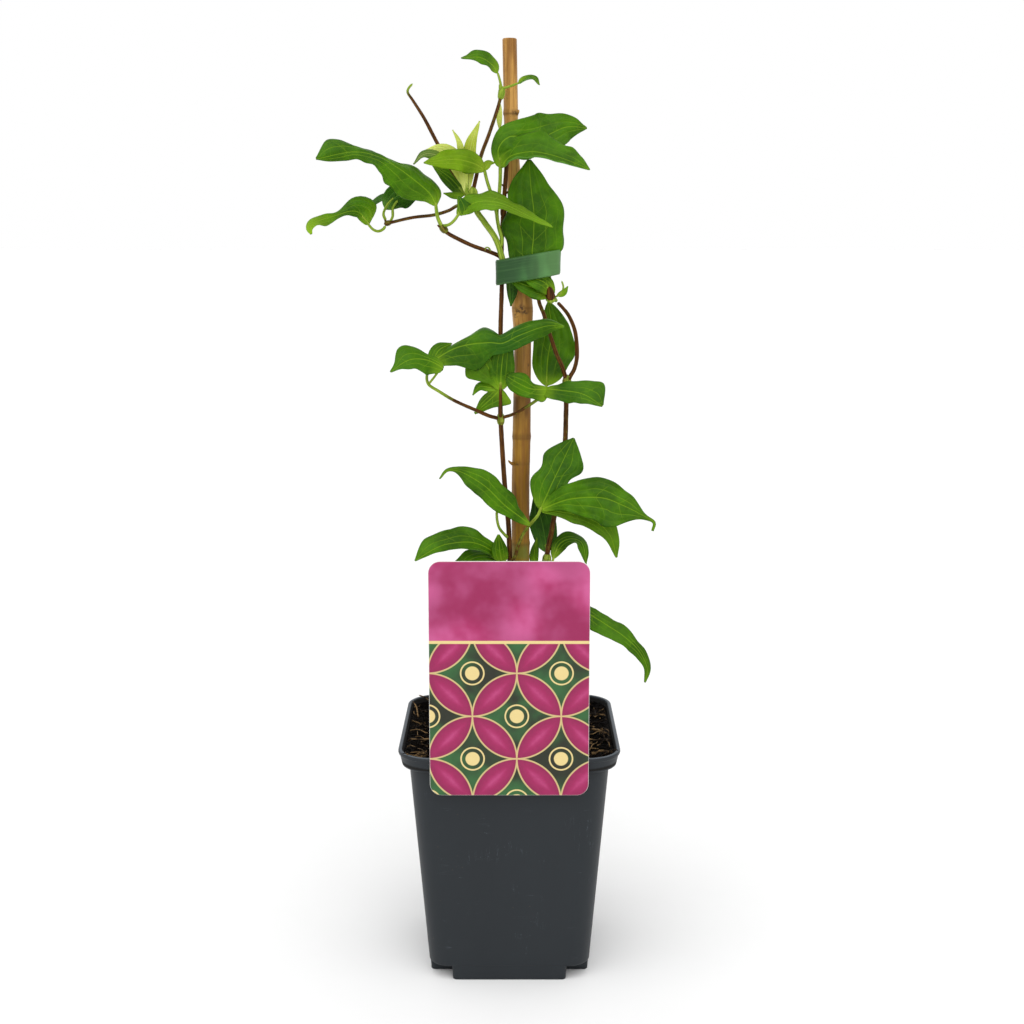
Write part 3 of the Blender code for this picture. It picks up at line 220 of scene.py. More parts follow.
@dataclass(frozen=True)
class LeafSkin:
    """A clematis leaf blade: a waxy skin over soft green tissue, with sunken pale veins above.

    Light catches the wax in soft patches, and the tissue between the veins swells a little. Arcs are the
    main veins: a share of the half width, a width in millimetres and a strength.
    """

    name: str
    deep: str
    light: str
    vein: str
    under: str
    roughness: float = 0.44
    vein_share: float = 0.52
    shade: str = "#24500a"
    arcs: Sequence[Point] = ((0.4, 0.28, 0.55), (0.75, 0.22, 0.2))
    side_gap: float = 9.2
    side_slant: float = -0.85

    def veins(self, tree: ShaderSheet, plane: object, across: object, run: object) -> Socket:
        """Lines of the veins: a midrib, arcs beside it, slanting side veins and a fine net.

        Args:
            tree: the material they are drawn in.
            plane: place on the blade laid flat, in millimetres.
            across: millimetres from the midrib.
            run: millimetres from the stalk.

        Returns:
            A mask from 0 to 1.
        """
        _, side, half, share = tree.attribute("blade_marks")
        off = tree.math("ABSOLUTE", side)
        reach = tree.math("ABSOLUTE", across)
        fading = tree.band(tree.noise(plane, 0.06, 2), 0.36, 0.56)
        wander = tree.math("MULTIPLY_ADD", tree.noise(plane, 0.09, 2), 0.22, -0.11)
        rib_width = tree.math("MULTIPLY_ADD", share, -0.26, 0.46)
        lines = tree.product(tree.band(tree.math("DIVIDE", reach, rib_width), 1, 0.2), 0.8)
        # The main veins leave the base together and run in arcs to the tip
        for place, width, strength in self.arcs:
            gap = tree.gap(tree.math("ADD", off, wander), place)
            line = tree.band(tree.math("MULTIPLY", gap, half), width, 0.04)
            seen = tree.math("MULTIPLY_ADD", fading, 0.85 * strength, 0.15 * strength)
            lines = tree.math("MAXIMUM", lines, tree.math("MULTIPLY", line, seen))
        # Side veins leave the midrib about every 9 mm and slant towards the tip
        bend = tree.math("MULTIPLY_ADD", tree.noise(plane, 0.07, 2), 7, run)
        slant = tree.math("MULTIPLY_ADD", reach, self.side_slant, bend)
        arcs = tree.band(tree.math("PINGPONG", slant, self.side_gap / 2), 0.3, 0.03)
        inside = tree.band(off, 0.8, 0.45)
        lines = tree.math("MAXIMUM", lines, tree.product(arcs, inside, fading, 0.5))
        # A fine net of 3 mm cells fills the rest
        warp = tree.add("ShaderNodeTexNoise", {"Vector": plane, "Scale": 0.12, "Detail": 1})
        shift = tree.vector("MULTIPLY", warp.outputs["Color"], (5, 5, 5))
        warped = tree.vector("ADD", plane, shift)
        net = tree.product(tree.band(tree.cells(warped, 0.3), 0.06, 0), 0.12)
        return tree.math("MAXIMUM", lines, net)

    def material(self) -> Material:
        """Build the shader from the marks that each blade's mesh carries.

        Returns:
            The material.
        """
        tree = ShaderSheet(self.name)
        plane, across, run, _ = tree.attribute("blade_plane")
        _, under, tint_and_shade, _ = tree.attribute("blade_side")
        lines = self.veins(tree, plane, across, run)
        patch = tree.noise(plane, 0.07)
        fine = tree.noise(plane, 1.5)
        # The blade yellows where it runs into its stalk
        funnel = tree.product(tree.band(run, 7, 0.5), 0.5)
        yellow = tree.math("MAXIMUM", tree.product(tint_and_shade, 0.8), funnel)
        upper = tree.layers(
            self.light,
            (tree.band(patch, 0.35, 0.65), self.deep),
            (tree.product(fine, 0.25), self.deep),
            (yellow, self.vein),
            # A tone below 0 lays painted shade over the blade
            (tree.product(tint_and_shade, -1), self.shade),
            (tree.product(lines, self.vein_share), self.vein),
        )
        lower = tree.layers(self.under, (tree.product(lines, 0.45), self.vein))
        # Sunken above, raised below
        turn = tree.math("MULTIPLY_ADD", under, 2, -1)
        quilt = tree.math("MULTIPLY_ADD", tree.noise(plane, 0.3, 2), 1.3, tree.product(fine, 0.2))
        tree.relief(tree.math("MULTIPLY_ADD", lines, turn, quilt), 0.3, 0.6)
        rough = tree.math("MULTIPLY_ADD", patch, 0.16, self.roughness - 0.08)
        return tree.finish(
            Base_Color=tree.layers(upper, (under, lower)),
            Roughness=tree.math("MULTIPLY_ADD", under, 0.2, rough),
            IOR=1.42,
            Specular_IOR_Level=0.12,
            Sheen_Weight=0.03,
            Sheen_Roughness=0.5,
            Sheen_Tint=srgb("#d7e4cf"),
            Subsurface_Weight=0.1,
            Subsurface_Radius=(0.4, 0.8, 0.1),
            Subsurface_Scale=0.6 * MM,
        )


@dataclass(frozen=True)
class StalkSkin:
    """Thin ridged bark and green rind of clematis stems: red-brown where old, green at nodes and tips."""

    name: str = "clematis_stalk_rind"
    bark: str = "#5c3810"
    bark_dark: str = "#2e1806"
    green: str = "#5f7d18"
    green_light: str = "#97ab3e"

    def material(self) -> Material:
        """Build the shader from the marks that each stalk's mesh carries.

        Returns:
            The material.
        """
        tree = ShaderSheet(self.name)
        _, run, turn, lean = tree.attribute("stalk_marks")
        _, green, seed, _ = tree.attribute("stalk_tint")
        drawn = tree.math("MULTIPLY_ADD", run, 0.07, seed)
        line = tree.add("ShaderNodeCombineXYZ", {0: drawn, 1: turn, 2: lean}).outputs[0]
        streak = tree.noise(line, 2.4, 4, 0.6)
        spot = tree.noise(tree.place(), 0.45)
        bark = tree.layers(self.bark_dark, (tree.band(streak, 0.36, 0.62), self.bark))
        rind = tree.layers(self.green, (tree.band(streak, 0.34, 0.66), self.green_light))
        share = tree.math("MULTIPLY_ADD", tree.math("SUBTRACT", spot, 0.5), 0.7, green)
        tree.relief(streak, 0.14, 0.7)
        colour = tree.layers(bark, (tree.band(share, 0.25, 0.75), rind))
        return tree.finish(Base_Color=colour, Roughness=0.55, IOR=1.42, Specular_IOR_Level=0.12)


@dataclass(frozen=True)
class HairFloss:
    """Short pale hairs on young clematis stalks, too fine to see singly, that blur the stalk's edge."""

    name: str = "stalk_hair"
    colour: str = "#a39a68"
    shade: str = "#7c7438"

    def material(self) -> Material:
        """Build the shader.

        Returns:
            The material.
        """
        tree = ShaderSheet(self.name)
        tint = tree.layers(self.colour, (tree.noise(tree.place(), 0.7), self.shade))
        return tree.finish(Base_Color=tint, Roughness=0.6)


@dataclass(frozen=True)
class BambooSkin:
    """Dried bamboo: a hard straw skin with long fibres, brown at its nodes, greyed and specked by weather.

    Husks give a height, a reach and a share for each stretch that they have browned; the first, at 235.5, is
    painted shade under a leaf.
    """

    name: str = "dried_bamboo"
    straw: str = "#c2924a"
    straw_low: str = "#8f6a14"
    fibre: str = "#6d4312"
    husk_and_shade: str = "#52300e"
    ring: str = "#3a2510"
    mould: str = "#1f170e"
    moss: str = "#5c6a1e"
    # The first band, at 235.5, is painted shade under a leaf; the others are browned husk
    husks_and_shade: Sequence[Point] = ((235.5, 7, 0.85), (199, 13, 0.8), (254, 9, 0.45))
    algae: float = 175.4

    def material(self) -> Material:
        """Build the shader from the marks that the cane's mesh carries.

        Returns:
            The material.
        """
        tree = ShaderSheet(self.name)
        _, height, ring, stain = tree.attribute("cane_marks")
        fibres = tree.noise(tree.place((1.3, 1.3, 0.03)), 1, 5, 0.65)
        cloud = tree.noise(tree.place((0.14, 0.14, 0.035)))
        # The skin is darker towards the bottom and paler upwards
        paler_upward = tree.band(tree.math("MULTIPLY_ADD", cloud, 60, height), 225, 330)
        husks_and_shade = []
        for place, reach, share in self.husks_and_shade:
            husk_and_shade = tree.product(tree.band(tree.gap(height, place), reach, 0.3 * reach), share)
            husks_and_shade.append((tree.product(husk_and_shade, tree.band(cloud, 0.34, 0.56)), self.husk_and_shade))
        # Painted shade darkens the cane's +X side below the tie
        side = tree.add("ShaderNodeSeparateXYZ", {0: tree.place()}).outputs[0]
        painted_side_shade = tree.product(tree.band(side, 5.2, 8.2), tree.band(height, 292, 280), 0.5)
        # Algae have greened the stretch below the lowest node
        low = tree.band(tree.gap(height, self.algae), 5, 1.5)
        damp = tree.product(low, tree.band(cloud, 0.38, 0.56), 0.75)
        specks = tree.band(tree.cells(tree.place((0.9, 0.9, 0.45)), 1, "F1"), 0.16, 0.06)
        rare = tree.band(tree.noise(tree.place(), 0.13, 2), 0.52, 0.66)
        ragged = tree.math("MULTIPLY", ring, tree.math("MULTIPLY_ADD", fibres, 1.1, 0.2))
        blot = tree.product(stain, tree.band(tree.noise(tree.place(), 0.9), 0.36, 0.6), 0.8)
        skin = tree.layers(
            self.straw_low,
            (paler_upward, self.straw),
            (tree.product(tree.band(fibres, 0.6, 0.36), 0.6), self.fibre),
            (tree.product(tree.band(cloud, 0.5, 0.28), 0.75), self.fibre),
            *husks_and_shade,
            (painted_side_shade, self.fibre),
            (damp, self.moss),
            (tree.product(specks, rare, 0.6), self.mould),
            (ragged, self.ring),
            (blot, self.mould),
        )
        tree.relief(tree.math("MULTIPLY_ADD", ragged, -0.5, fibres), 0.2, 0.7)
        rough = tree.math("MULTIPLY_ADD", ragged, 0.3, tree.math("MULTIPLY_ADD", fibres, 0.2, 0.36))
        return tree.finish(Base_Color=skin, Roughness=rough, IOR=1.5, Specular_IOR_Level=0.22)


@dataclass(frozen=True)
class TyingTape:
    """Soft green PVC tying tape: extruded, slightly cloudy, with drawn lines along it and a satin sheen."""

    name: str = "pvc_tying_tape"
    face: str = "#3a6c33"
    dark: str = "#1b3f19"
    pale: str = "#628f52"

    def material(self) -> Material:
        """Build the shader from the marks that the tape's mesh carries.

        Returns:
            The material.
        """
        tree = ShaderSheet(self.name)
        _, run, height, edge = tree.attribute("tape_marks")
        drawn = tree.add("ShaderNodeCombineXYZ", {0: tree.product(run, 0.035), 1: height}).outputs[0]
        lines = tree.noise(drawn, 1.2, 4, 0.6)
        cloud = tree.noise(tree.place((1, 1, 0.3)), 0.12, 2)
        # Painted shade darkens the loop's left end, where run is low, and painted light brightens the front
        # from there to its right
        colour = tree.layers(
            self.dark,
            (tree.band(cloud, 0.34, 0.6), self.face),
            (tree.product(tree.band(run, -12.5, -19.5), 0.95), self.dark),
            (tree.product(tree.band(run, -17, -1), 0.5), self.pale),
            (tree.product(tree.band(lines, 0.45, 0.7), 0.14), self.pale),
            (tree.product(edge, 0.5), self.pale),
        )
        tree.relief(lines, 0.06, 0.5)
        rough = tree.math("MULTIPLY_ADD", lines, 0.18, 0.3)
        return tree.finish(Base_Color=colour, Roughness=rough, IOR=1.53, Specular_IOR_Level=0.25)


@dataclass(frozen=True)
class MouldedPolypropylene:
    """Black recycled polypropylene, injection moulded: satin blue-grey and scuffed, with peat and painted
    shade inside the rim and a painted highlight along the lip's crest.
    """

    name: str = "moulded_polypropylene"
    face: str = "#23282c"
    deep: str = "#1b1f23"
    scuff_and_highlight: str = "#59616a"
    dust: str = "#55442f"
    peat_and_shade: str = "#0d0a07"

    def material(self) -> Material:
        """Build the shader.

        Returns:
            The material.
        """
        tree = ShaderSheet(self.name)
        flow = tree.noise(tree.place((0.03, 0.03, 0.012)), 1, 4)
        # Hairline scratches, upright and level, drawn a few millimetres long so that they show
        marks = None
        for stretch, level, scale in (((0.9, 0.9, 0.045), 0.6, 0.07), ((0.05, 0.05, 0.5), 0.62, 0.09)):
            hair = tree.band(tree.gap(tree.noise(tree.place(stretch), 1, 2), level), 0.006, 0)
            broken = tree.product(hair, tree.band(tree.noise(tree.place(), scale, 2), 0.57, 0.69))
            marks = broken if marks is None else tree.math("MAXIMUM", marks, broken)
        grit = tree.band(tree.cells(tree.place(), 0.35, "F1"), 0.1, 0.05)
        grit = tree.product(grit, tree.band(tree.noise(tree.place(), 0.05, 2), 0.56, 0.7), 0.5)
        # Peat and painted shade darken the wall inside the rim nearly to black
        size = tree.vector("ABSOLUTE", tree.place())
        corner = tree.vector("MAXIMUM", tree.vector("SUBTRACT", size, (31.1, 31.1, 0)), (0, 0, 0))
        x, y, height = tree.add("ShaderNodeSeparateXYZ", {0: corner}).outputs
        wall = tree.band(tree.length(x, y), 12.75, 12.5)
        ragged = tree.math("MULTIPLY_ADD", tree.noise(tree.place(), 0.4), 1.6, height)
        soil = tree.product(wall, tree.band(height, 94.2, 94.4), tree.band(ragged, 100.4, 99.6), 0.92)
        # A painted highlight makes the lip's crest a paler grey
        colour = tree.layers(
            self.deep,
            (flow, self.face),
            (tree.product(marks, 0.5), self.scuff_and_highlight),
            (grit, self.dust),
            (tree.product(tree.band(height, 99.7, 99.95), 0.6), self.scuff_and_highlight),
            (soil, self.peat_and_shade),
        )
        grain = tree.noise(tree.place(), 3.2, 2)
        tree.relief(tree.math("MULTIPLY_ADD", marks, -0.7, grain), 0.035, 0.55)
        rough = tree.math("MULTIPLY_ADD", flow, 0.14, 0.4)
        rough = tree.math("MULTIPLY_ADD", soil, 0.4, tree.math("MULTIPLY_ADD", marks, 0.2, rough))
        return tree.finish(Base_Color=colour, Roughness=rough, IOR=1.49, Specular_IOR_Level=0.26)


@dataclass(frozen=True)
class PottingMix:
    """Damp peat: crumbs of several browns, nearly black where wet."""

    name: str = "damp_peat"
    wet: str = "#050302"
    dry: str = "#130c06"
    bright: str = "#2c1c0e"

    def material(self) -> Material:
        """Build the shader.

        Returns:
            The material.
        """
        tree = ShaderSheet(self.name)
        crumbs = tree.cells(tree.place(), 0.7, "F1")
        cloud = tree.noise(tree.place(), 0.25, 5, 0.7)
        rare = tree.band(tree.noise(tree.place(), 0.5, 2), 0.5, 0.62)
        bright = tree.product(tree.band(crumbs, 0.16, 0.04), rare)
        colour = tree.layers(self.wet, (tree.band(cloud, 0.46, 0.7), self.dry), (bright, self.bright))
        tree.relief(tree.math("ADD", crumbs, cloud), 0.9, 1)
        return tree.finish(Base_Color=colour, Roughness=0.9, IOR=1.4, Specular_IOR_Level=0.1)


@dataclass(frozen=True)
class PlantFibre:
    """Bark shreds, straw and root fibre in the mix: pale tan to brown, matt and streaked."""

    name: str = "bark_fibre"
    pale: str = "#937650"
    dark: str = "#1a110a"

    def material(self) -> Material:
        """Build the shader.

        Returns:
            The material.
        """
        tree = ShaderSheet(self.name)
        tint = tree.noise(tree.place(), 0.11, 3, 0.7)
        streak = tree.noise(tree.place(), 2.4)
        pale = tree.band(tint, 0.44, 0.62)
        colour = tree.layers(self.dark, (pale, self.pale), (tree.product(streak, 0.5), self.dark))
        tree.relief(streak, 0.15, 0.7)
        return tree.finish(Base_Color=colour, Roughness=0.75, Specular_IOR_Level=0.12)


@dataclass(frozen=True)
class PrintedCard:
    """Offset print on a white polypropylene card: flat inks under a smooth varnish.

    The print is a ring lattice: circles that overlap in pointed lenses, on a clouded ground.
    """

    name: str = "printed_card"
    magenta: str = "#9d1f58"
    rose: str = "#bd5488"
    plum: str = "#741740"
    cream: str = "#d6c284"
    green: str = "#275d2f"
    deep_green: str = "#192616"
    ring: float = 17.5
    lattice_top: float = 148
    middle_x: float = 3
    middle_z: float = 118

    def material(self) -> Material:
        """Build the shader on the card's own place, in millimetres.

        Returns:
            The material.
        """
        tree = ShaderSheet(self.name)
        spot = tree.add("ShaderNodeSeparateXYZ", {0: tree.place()}).outputs
        x = tree.math("SUBTRACT", spot[0], self.middle_x)
        z = tree.math("SUBTRACT", spot[2], self.middle_z)
        pitch = self.ring * math.sqrt(2)
        u, v = (
            tree.math("PINGPONG", tree.product(tree.math(sign, x, z), math.sqrt(0.5)), pitch / 2)
            for sign in ("ADD", "SUBTRACT")
        )
        near = tree.length(u, v)
        beside = tree.length(tree.math("SUBTRACT", pitch, u), v)
        above = tree.length(u, tree.math("SUBTRACT", pitch, v))
        second = tree.math("MINIMUM", beside, above)
        cloud = tree.noise(tree.place((0.05, 0.05, 0.05)))
        ground = tree.layers(self.deep_green, (tree.band(cloud, 0.36, 0.62), self.green))
        depth = tree.math("DIVIDE", tree.math("SUBTRACT", self.ring, second), self.ring * 0.4)
        streak = tree.noise(tree.place((0.5, 0.5, 0.5)), 0.9, 4, 0.7)
        petal = tree.layers(
            self.plum,
            (tree.math("MULTIPLY_ADD", streak, 0.6, depth), self.magenta),
            (tree.product(tree.band(depth, 0.4, 1.05), streak, 1.5), self.rose),
        )
        outline = tree.band(tree.gap(second, self.ring), 0.42, 0.2)
        dot = tree.band(near, self.ring * 0.17, self.ring * 0.15)
        halo = tree.band(tree.gap(near, self.ring * 0.26), 0.4, 0.2)
        # The top is a plain clouded band, closed by a cream rule
        shadow = tree.band(tree.noise(tree.place(), 0.035, 1), 0.38, 0.6)
        light = tree.band(cloud, 0.34, 0.62)
        mist = tree.layers(self.magenta, (light, self.rose), (tree.product(shadow, 0.45), self.plum))
        level = tree.math("SUBTRACT", spot[2], self.lattice_top)
        dots = tree.noise(tree.place(), 2.5, 1)
        face = tree.layers(
            ground,
            (tree.band(second, self.ring + 0.1, self.ring - 0.1), petal),
            (tree.product(outline, 0.75), self.cream),
            (tree.math("MAXIMUM", dot, halo), self.cream),
            (tree.band(level, -0.1, 0.1), mist),
            (tree.band(tree.math("ABSOLUTE", level), 0.7, 0.5), self.cream),
            (tree.product(dots, 0.08), self.plum),
        )
        _, printed, _, _ = tree.attribute("card_marks")
        bare = tree.layers("#dcdad4", (tree.noise(tree.place(), 0.2), "#ecebe6"))
        tree.relief(tree.noise(tree.place(), 0.4, 2), 0.04, 0.3)
        rough = tree.math("MULTIPLY_ADD", dots, 0.08, 0.3)
        colour = tree.layers(bare, (printed, face))
        return tree.finish(Base_Color=colour, Roughness=rough, IOR=1.49, Specular_IOR_Level=0.35)


@dataclass(frozen=True)
class StudioPaper:
    """White studio paper under the pot, matt, with a trace of grain."""

    name: str = "studio_paper"

    def material(self) -> Material:
        """Build the shader.

        Returns:
            The material.
        """
        tree = ShaderSheet(self.name)
        grain = tree.noise(tree.place(), 0.05, 2)
        colour = tree.layers("#eeeeee", (tree.product(grain, 0.3), "#e9e9e8"))
        return tree.finish(Base_Color=colour, Roughness=0.95, Specular_IOR_Level=0.1)


class LeafAgeAndShade(Enum):
    """How old a leaf is, except SHADED, which is painted shade: a darker finish for leaves that lie in shade.
    Each value is the slot name for it.
    """

    MATURE = "leaf_green"
    SHADED = "leaf_dark"
    LIME = "leaf_lime"
    YOUNG = "leaf_pale"

    @property
    def skin(self) -> LeafSkin:
        """The finish of a leaf of this age, and for SHADED a darker finish that paints shade."""
        return LeafSkin(f"leaf_blade_{self.name.lower()}", *LEAF_LOOKS[self])


# Deep, light, vein and under colours, roughness and the share of the vein's colour
LEAF_LOOKS = {
    LeafAgeAndShade.MATURE: ("#2b5000", "#457300", "#86aa20", "#5a8a30"),
    # SHADED darkens the leaf for leaves in shade: painted shade
    LeafAgeAndShade.SHADED: ("#1a3a02", "#2f5c0c", "#5f8a30", "#4a7434"),
    LeafAgeAndShade.LIME: ("#4a6a00", "#668a00", "#93ab2c", "#7f9834", 0.44, 0.4),
    LeafAgeAndShade.YOUNG: ("#95a42c", "#bcc95e", "#d8df88", "#a9b468", 0.5, 0.35),
}


# Meshes, routes and repeats


def spline(knots: Sequence[object], spots: Array) -> Array:
    """Places on the smooth curve that passes through every knot.

    Args:
        knots: places, or plain numbers.
        spots: where on the curve, 0 at the first knot, 1 at the next and so on.

    Returns:
        One row for each spot.
    """
    given = np.reshape(np.asarray(knots, dtype=float), (len(knots), -1))
    given = np.vstack([2 * given[0] - given[1], given, 2 * given[-1] - given[-2]])
    index = np.minimum(spots.astype(int), len(knots) - 2)
    t = (spots - index)[:, None]
    before, start, end, after = (given[index + offset] for offset in range(4))
    bend = 2 * before - 5 * start + 4 * end - after
    twist = 3 * start - before - 3 * end + after
    return start + 0.5 * ((end - before) * t + bend * t**2 + twist * t**3)


def along(values: Sequence[float], share: Array) -> Array:
    """Smooth values at shares of a length, from values evenly spaced along it."""
    return spline(values, share * (len(values) - 1))[:, 0]


def joined(*parts: object) -> Array:
    """Numbers side by side for every point, each part stretched to the shape of all."""
    return np.stack(np.broadcast_arrays(*parts), axis=-1)


def circle(count: int) -> Array:
    """Angles evenly spaced round a circle."""
    return np.linspace(0, FULL_TURN, count, endpoint=False)


def unit(vectors: Array) -> Array:
    """Rows scaled to length 1."""
    return vectors / np.maximum(np.linalg.norm(vectors, axis=-1, keepdims=True), 1e-9)


def even_stations(knots: Route, step: float, fewest: int, most: int) -> tuple[Array, Array, float]:
    """Evenly spaced places on a smooth curve.

    Args:
        knots: places that the curve passes through.
        step: wanted distance between two stations.
        fewest: least number of steps.
        most: greatest number of steps.

    Returns:
        Places, directions and the curve's length.
    """
    fine = spline(knots, np.arange((len(knots) - 1) * CURVE_STEPS + 1) / CURVE_STEPS)
    lengths = np.concatenate([[0], np.cumsum(np.linalg.norm(np.diff(fine, axis=0), axis=1))])
    rows = int(min(most, max(fewest, round(lengths[-1] / step))))
    wanted = np.linspace(0, lengths[-1], rows + 1)
    places = joined(*(np.interp(wanted, lengths, part) for part in fine.T))
    return places, unit(np.gradient(places, axis=0)), float(lengths[-1])


def value_noise(places: Array, size: float, seed: float = 0) -> Array:
    """Smooth noise of about -1 to 1 at places, with lumps of a size in the same unit."""
    return np.array([noise.noise(Vector((p[0] / size + seed, p[1] / size, p[2] / size))) for p in places])


def grid_faces(rows: int, columns: int, closed: bool = False) -> Array:
    """Four-sided faces of a grid of points stored row by row.

    Args:
        rows: rows of points.
        columns: points in a row.
        closed: whether each row goes round to its start.

    Returns:
        Four point numbers for each face.
    """
    row, column = np.mgrid[: rows - 1, : columns if closed else columns - 1]
    here, after = row * columns, (column + 1) % columns
    below = here + columns
    return joined(here + column, here + after, below + after, below + column).reshape(-1, 4)


def outward(points: Array, faces: Array) -> Array:
    """Turn a closed shell's faces round if they point inwards.

    Args:
        points: one row for each point.
        faces: four point numbers for each face.

    Returns:
        The faces, all facing outward.
    """
    a, b, c, d = (points[faces[:, corner]] for corner in range(4))
    volume = np.einsum("ij,ij->", a, np.cross(b, c)) + np.einsum("ij,ij->", a, np.cross(c, d))
    return faces if volume > 0 else faces[:, ::-1]


def rounded_ring(
    half_x: float, half_y: float, radius: float, height: float = 0, corner_steps: int = 12,
    side_steps: int = 6,
) -> Array:
    """Points round a rounded rectangle, close together near its corners.

    Args:
        half_x: half its width.
        half_y: half its depth.
        radius: of its corners.
        height: where it lies.
        corner_steps: steps round each corner.
        side_steps: points on each straight side.

    Returns:
        One row for each point.
    """
    angle = np.linspace(0, math.pi / 2, corner_steps + 1)
    parts = []
    for quarter in range(4):
        flat_x, flat_y = (half_x - radius, half_y - radius)[:: 1 - 2 * (quarter % 2)]
        across = np.linspace(0.97, 0.03, side_steps) * 2 * flat_x - flat_x
        u = np.concatenate([flat_x + radius * np.cos(angle), across])
        v = np.concatenate([flat_y + radius * np.sin(angle), np.full(side_steps, flat_y + radius)])
        turn = 1j**quarter * (u + 1j * v)
        parts.append(joined(turn.real, turn.imag, height))
    return np.concatenate(parts)


@dataclass
class Shape:
    """Points and faces gathered for one mesh, with the marks that its material reads.

    Points are millimetres. A face is four point numbers, and a triangle repeats one of them.
    """

    points: list[Array] = field(default_factory=list)
    faces: list[Array] = field(default_factory=list)
    marks: dict[str, list[Array]] = field(default_factory=dict)
    count: int = 0

    def add(self, points: Array, faces: Array, **marks: Array) -> None:
        """Add a closed shell.

        Args:
            points: one row for each point.
            faces: one row of point numbers for each face.
            marks: a row of three numbers for each point, under the mark's name.
        """
        self.points.append(points)
        self.faces.append(outward(points, faces) + self.count)
        for name, values in marks.items():
            self.marks.setdefault(name, []).append(values)
        self.count += len(points)

    def add_tube(self, rings: Array, poles: Array | None = None, **marks: Array) -> None:
        """Join rings of points into a tube and close both ends.

        Args:
            rings: rows of points, each row one ring.
            poles: the middle points of the first and the last ring, where they aren't the rings' own.
            marks: three numbers for each point, in rows as the rings are.
        """
        count, around = rings.shape[:2]
        index = np.arange(around)
        after = (index + 1) % around
        pole = count * around
        last = pole - around
        fans = [joined(after, index, pole, pole), joined(index + last, after + last, pole + 1, pole + 1)]
        whole = {
            name: np.vstack([values.reshape(-1, 3), values[[0, -1]].mean(axis=1)])
            for name, values in marks.items()
        }
        ends = rings[[0, -1]].mean(axis=1) if poles is None else poles
        faces = np.vstack([grid_faces(count, around, True), *fans])
        self.add(np.vstack([rings.reshape(-1, 3), ends]), faces, **whole)

    def mesh(self, name: str) -> Mesh:
        """Make a Blender mesh in metres.

        Args:
            name: the mesh's name.

        Returns:
            The mesh with its marks.
        """
        mesh = bpy.data.meshes.new(name)
        loops = [tuple(dict.fromkeys(face)) for face in np.concatenate(self.faces).tolist()]
        mesh.from_pydata((np.concatenate(self.points) * MM).tolist(), [], loops)
        for mark, parts in self.marks.items():
            stored = mesh.attributes.new(mark, "FLOAT_VECTOR", "POINT")
            stored.data.foreach_set("vector", np.concatenate(parts).astype(np.float32).ravel())
        mesh.update()
        mesh.shade_smooth()
        return mesh


def add_object(name: str, data: object) -> Object:
    """Put data into the scene.

    Args:
        name: the object's name.
        data: a mesh, lamp or camera.

    Returns:
        The new object.
    """
    made = bpy.data.objects.new(name, data)
    bpy.context.scene.collection.objects.link(made)
    return made


def applied(thing: Object) -> Mesh:
    """Make a plain mesh of an object and its modifiers.

    Args:
        thing: the object, which stays as it is.

    Returns:
        The new mesh.
    """
    graph = bpy.context.evaluated_depsgraph_get()
    graph.update()
    return bpy.data.meshes.new_from_object(thing.evaluated_get(graph))


def place_piece(name: str, form: Shape | Mesh, material: Material, slot: str, *nodes: str) -> None:
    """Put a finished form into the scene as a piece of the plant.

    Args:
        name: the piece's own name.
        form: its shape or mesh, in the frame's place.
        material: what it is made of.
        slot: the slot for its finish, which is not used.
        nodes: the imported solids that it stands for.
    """
    mesh = form.mesh(name) if isinstance(form, Shape) else form
    mesh.materials.clear()
    mesh.materials.append(material)
    piece = add_object(name, mesh)
    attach(piece, BODY)
    if nodes:
        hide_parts(*nodes)
    LOG.info("%s: %d faces", name, len(mesh.polygons))


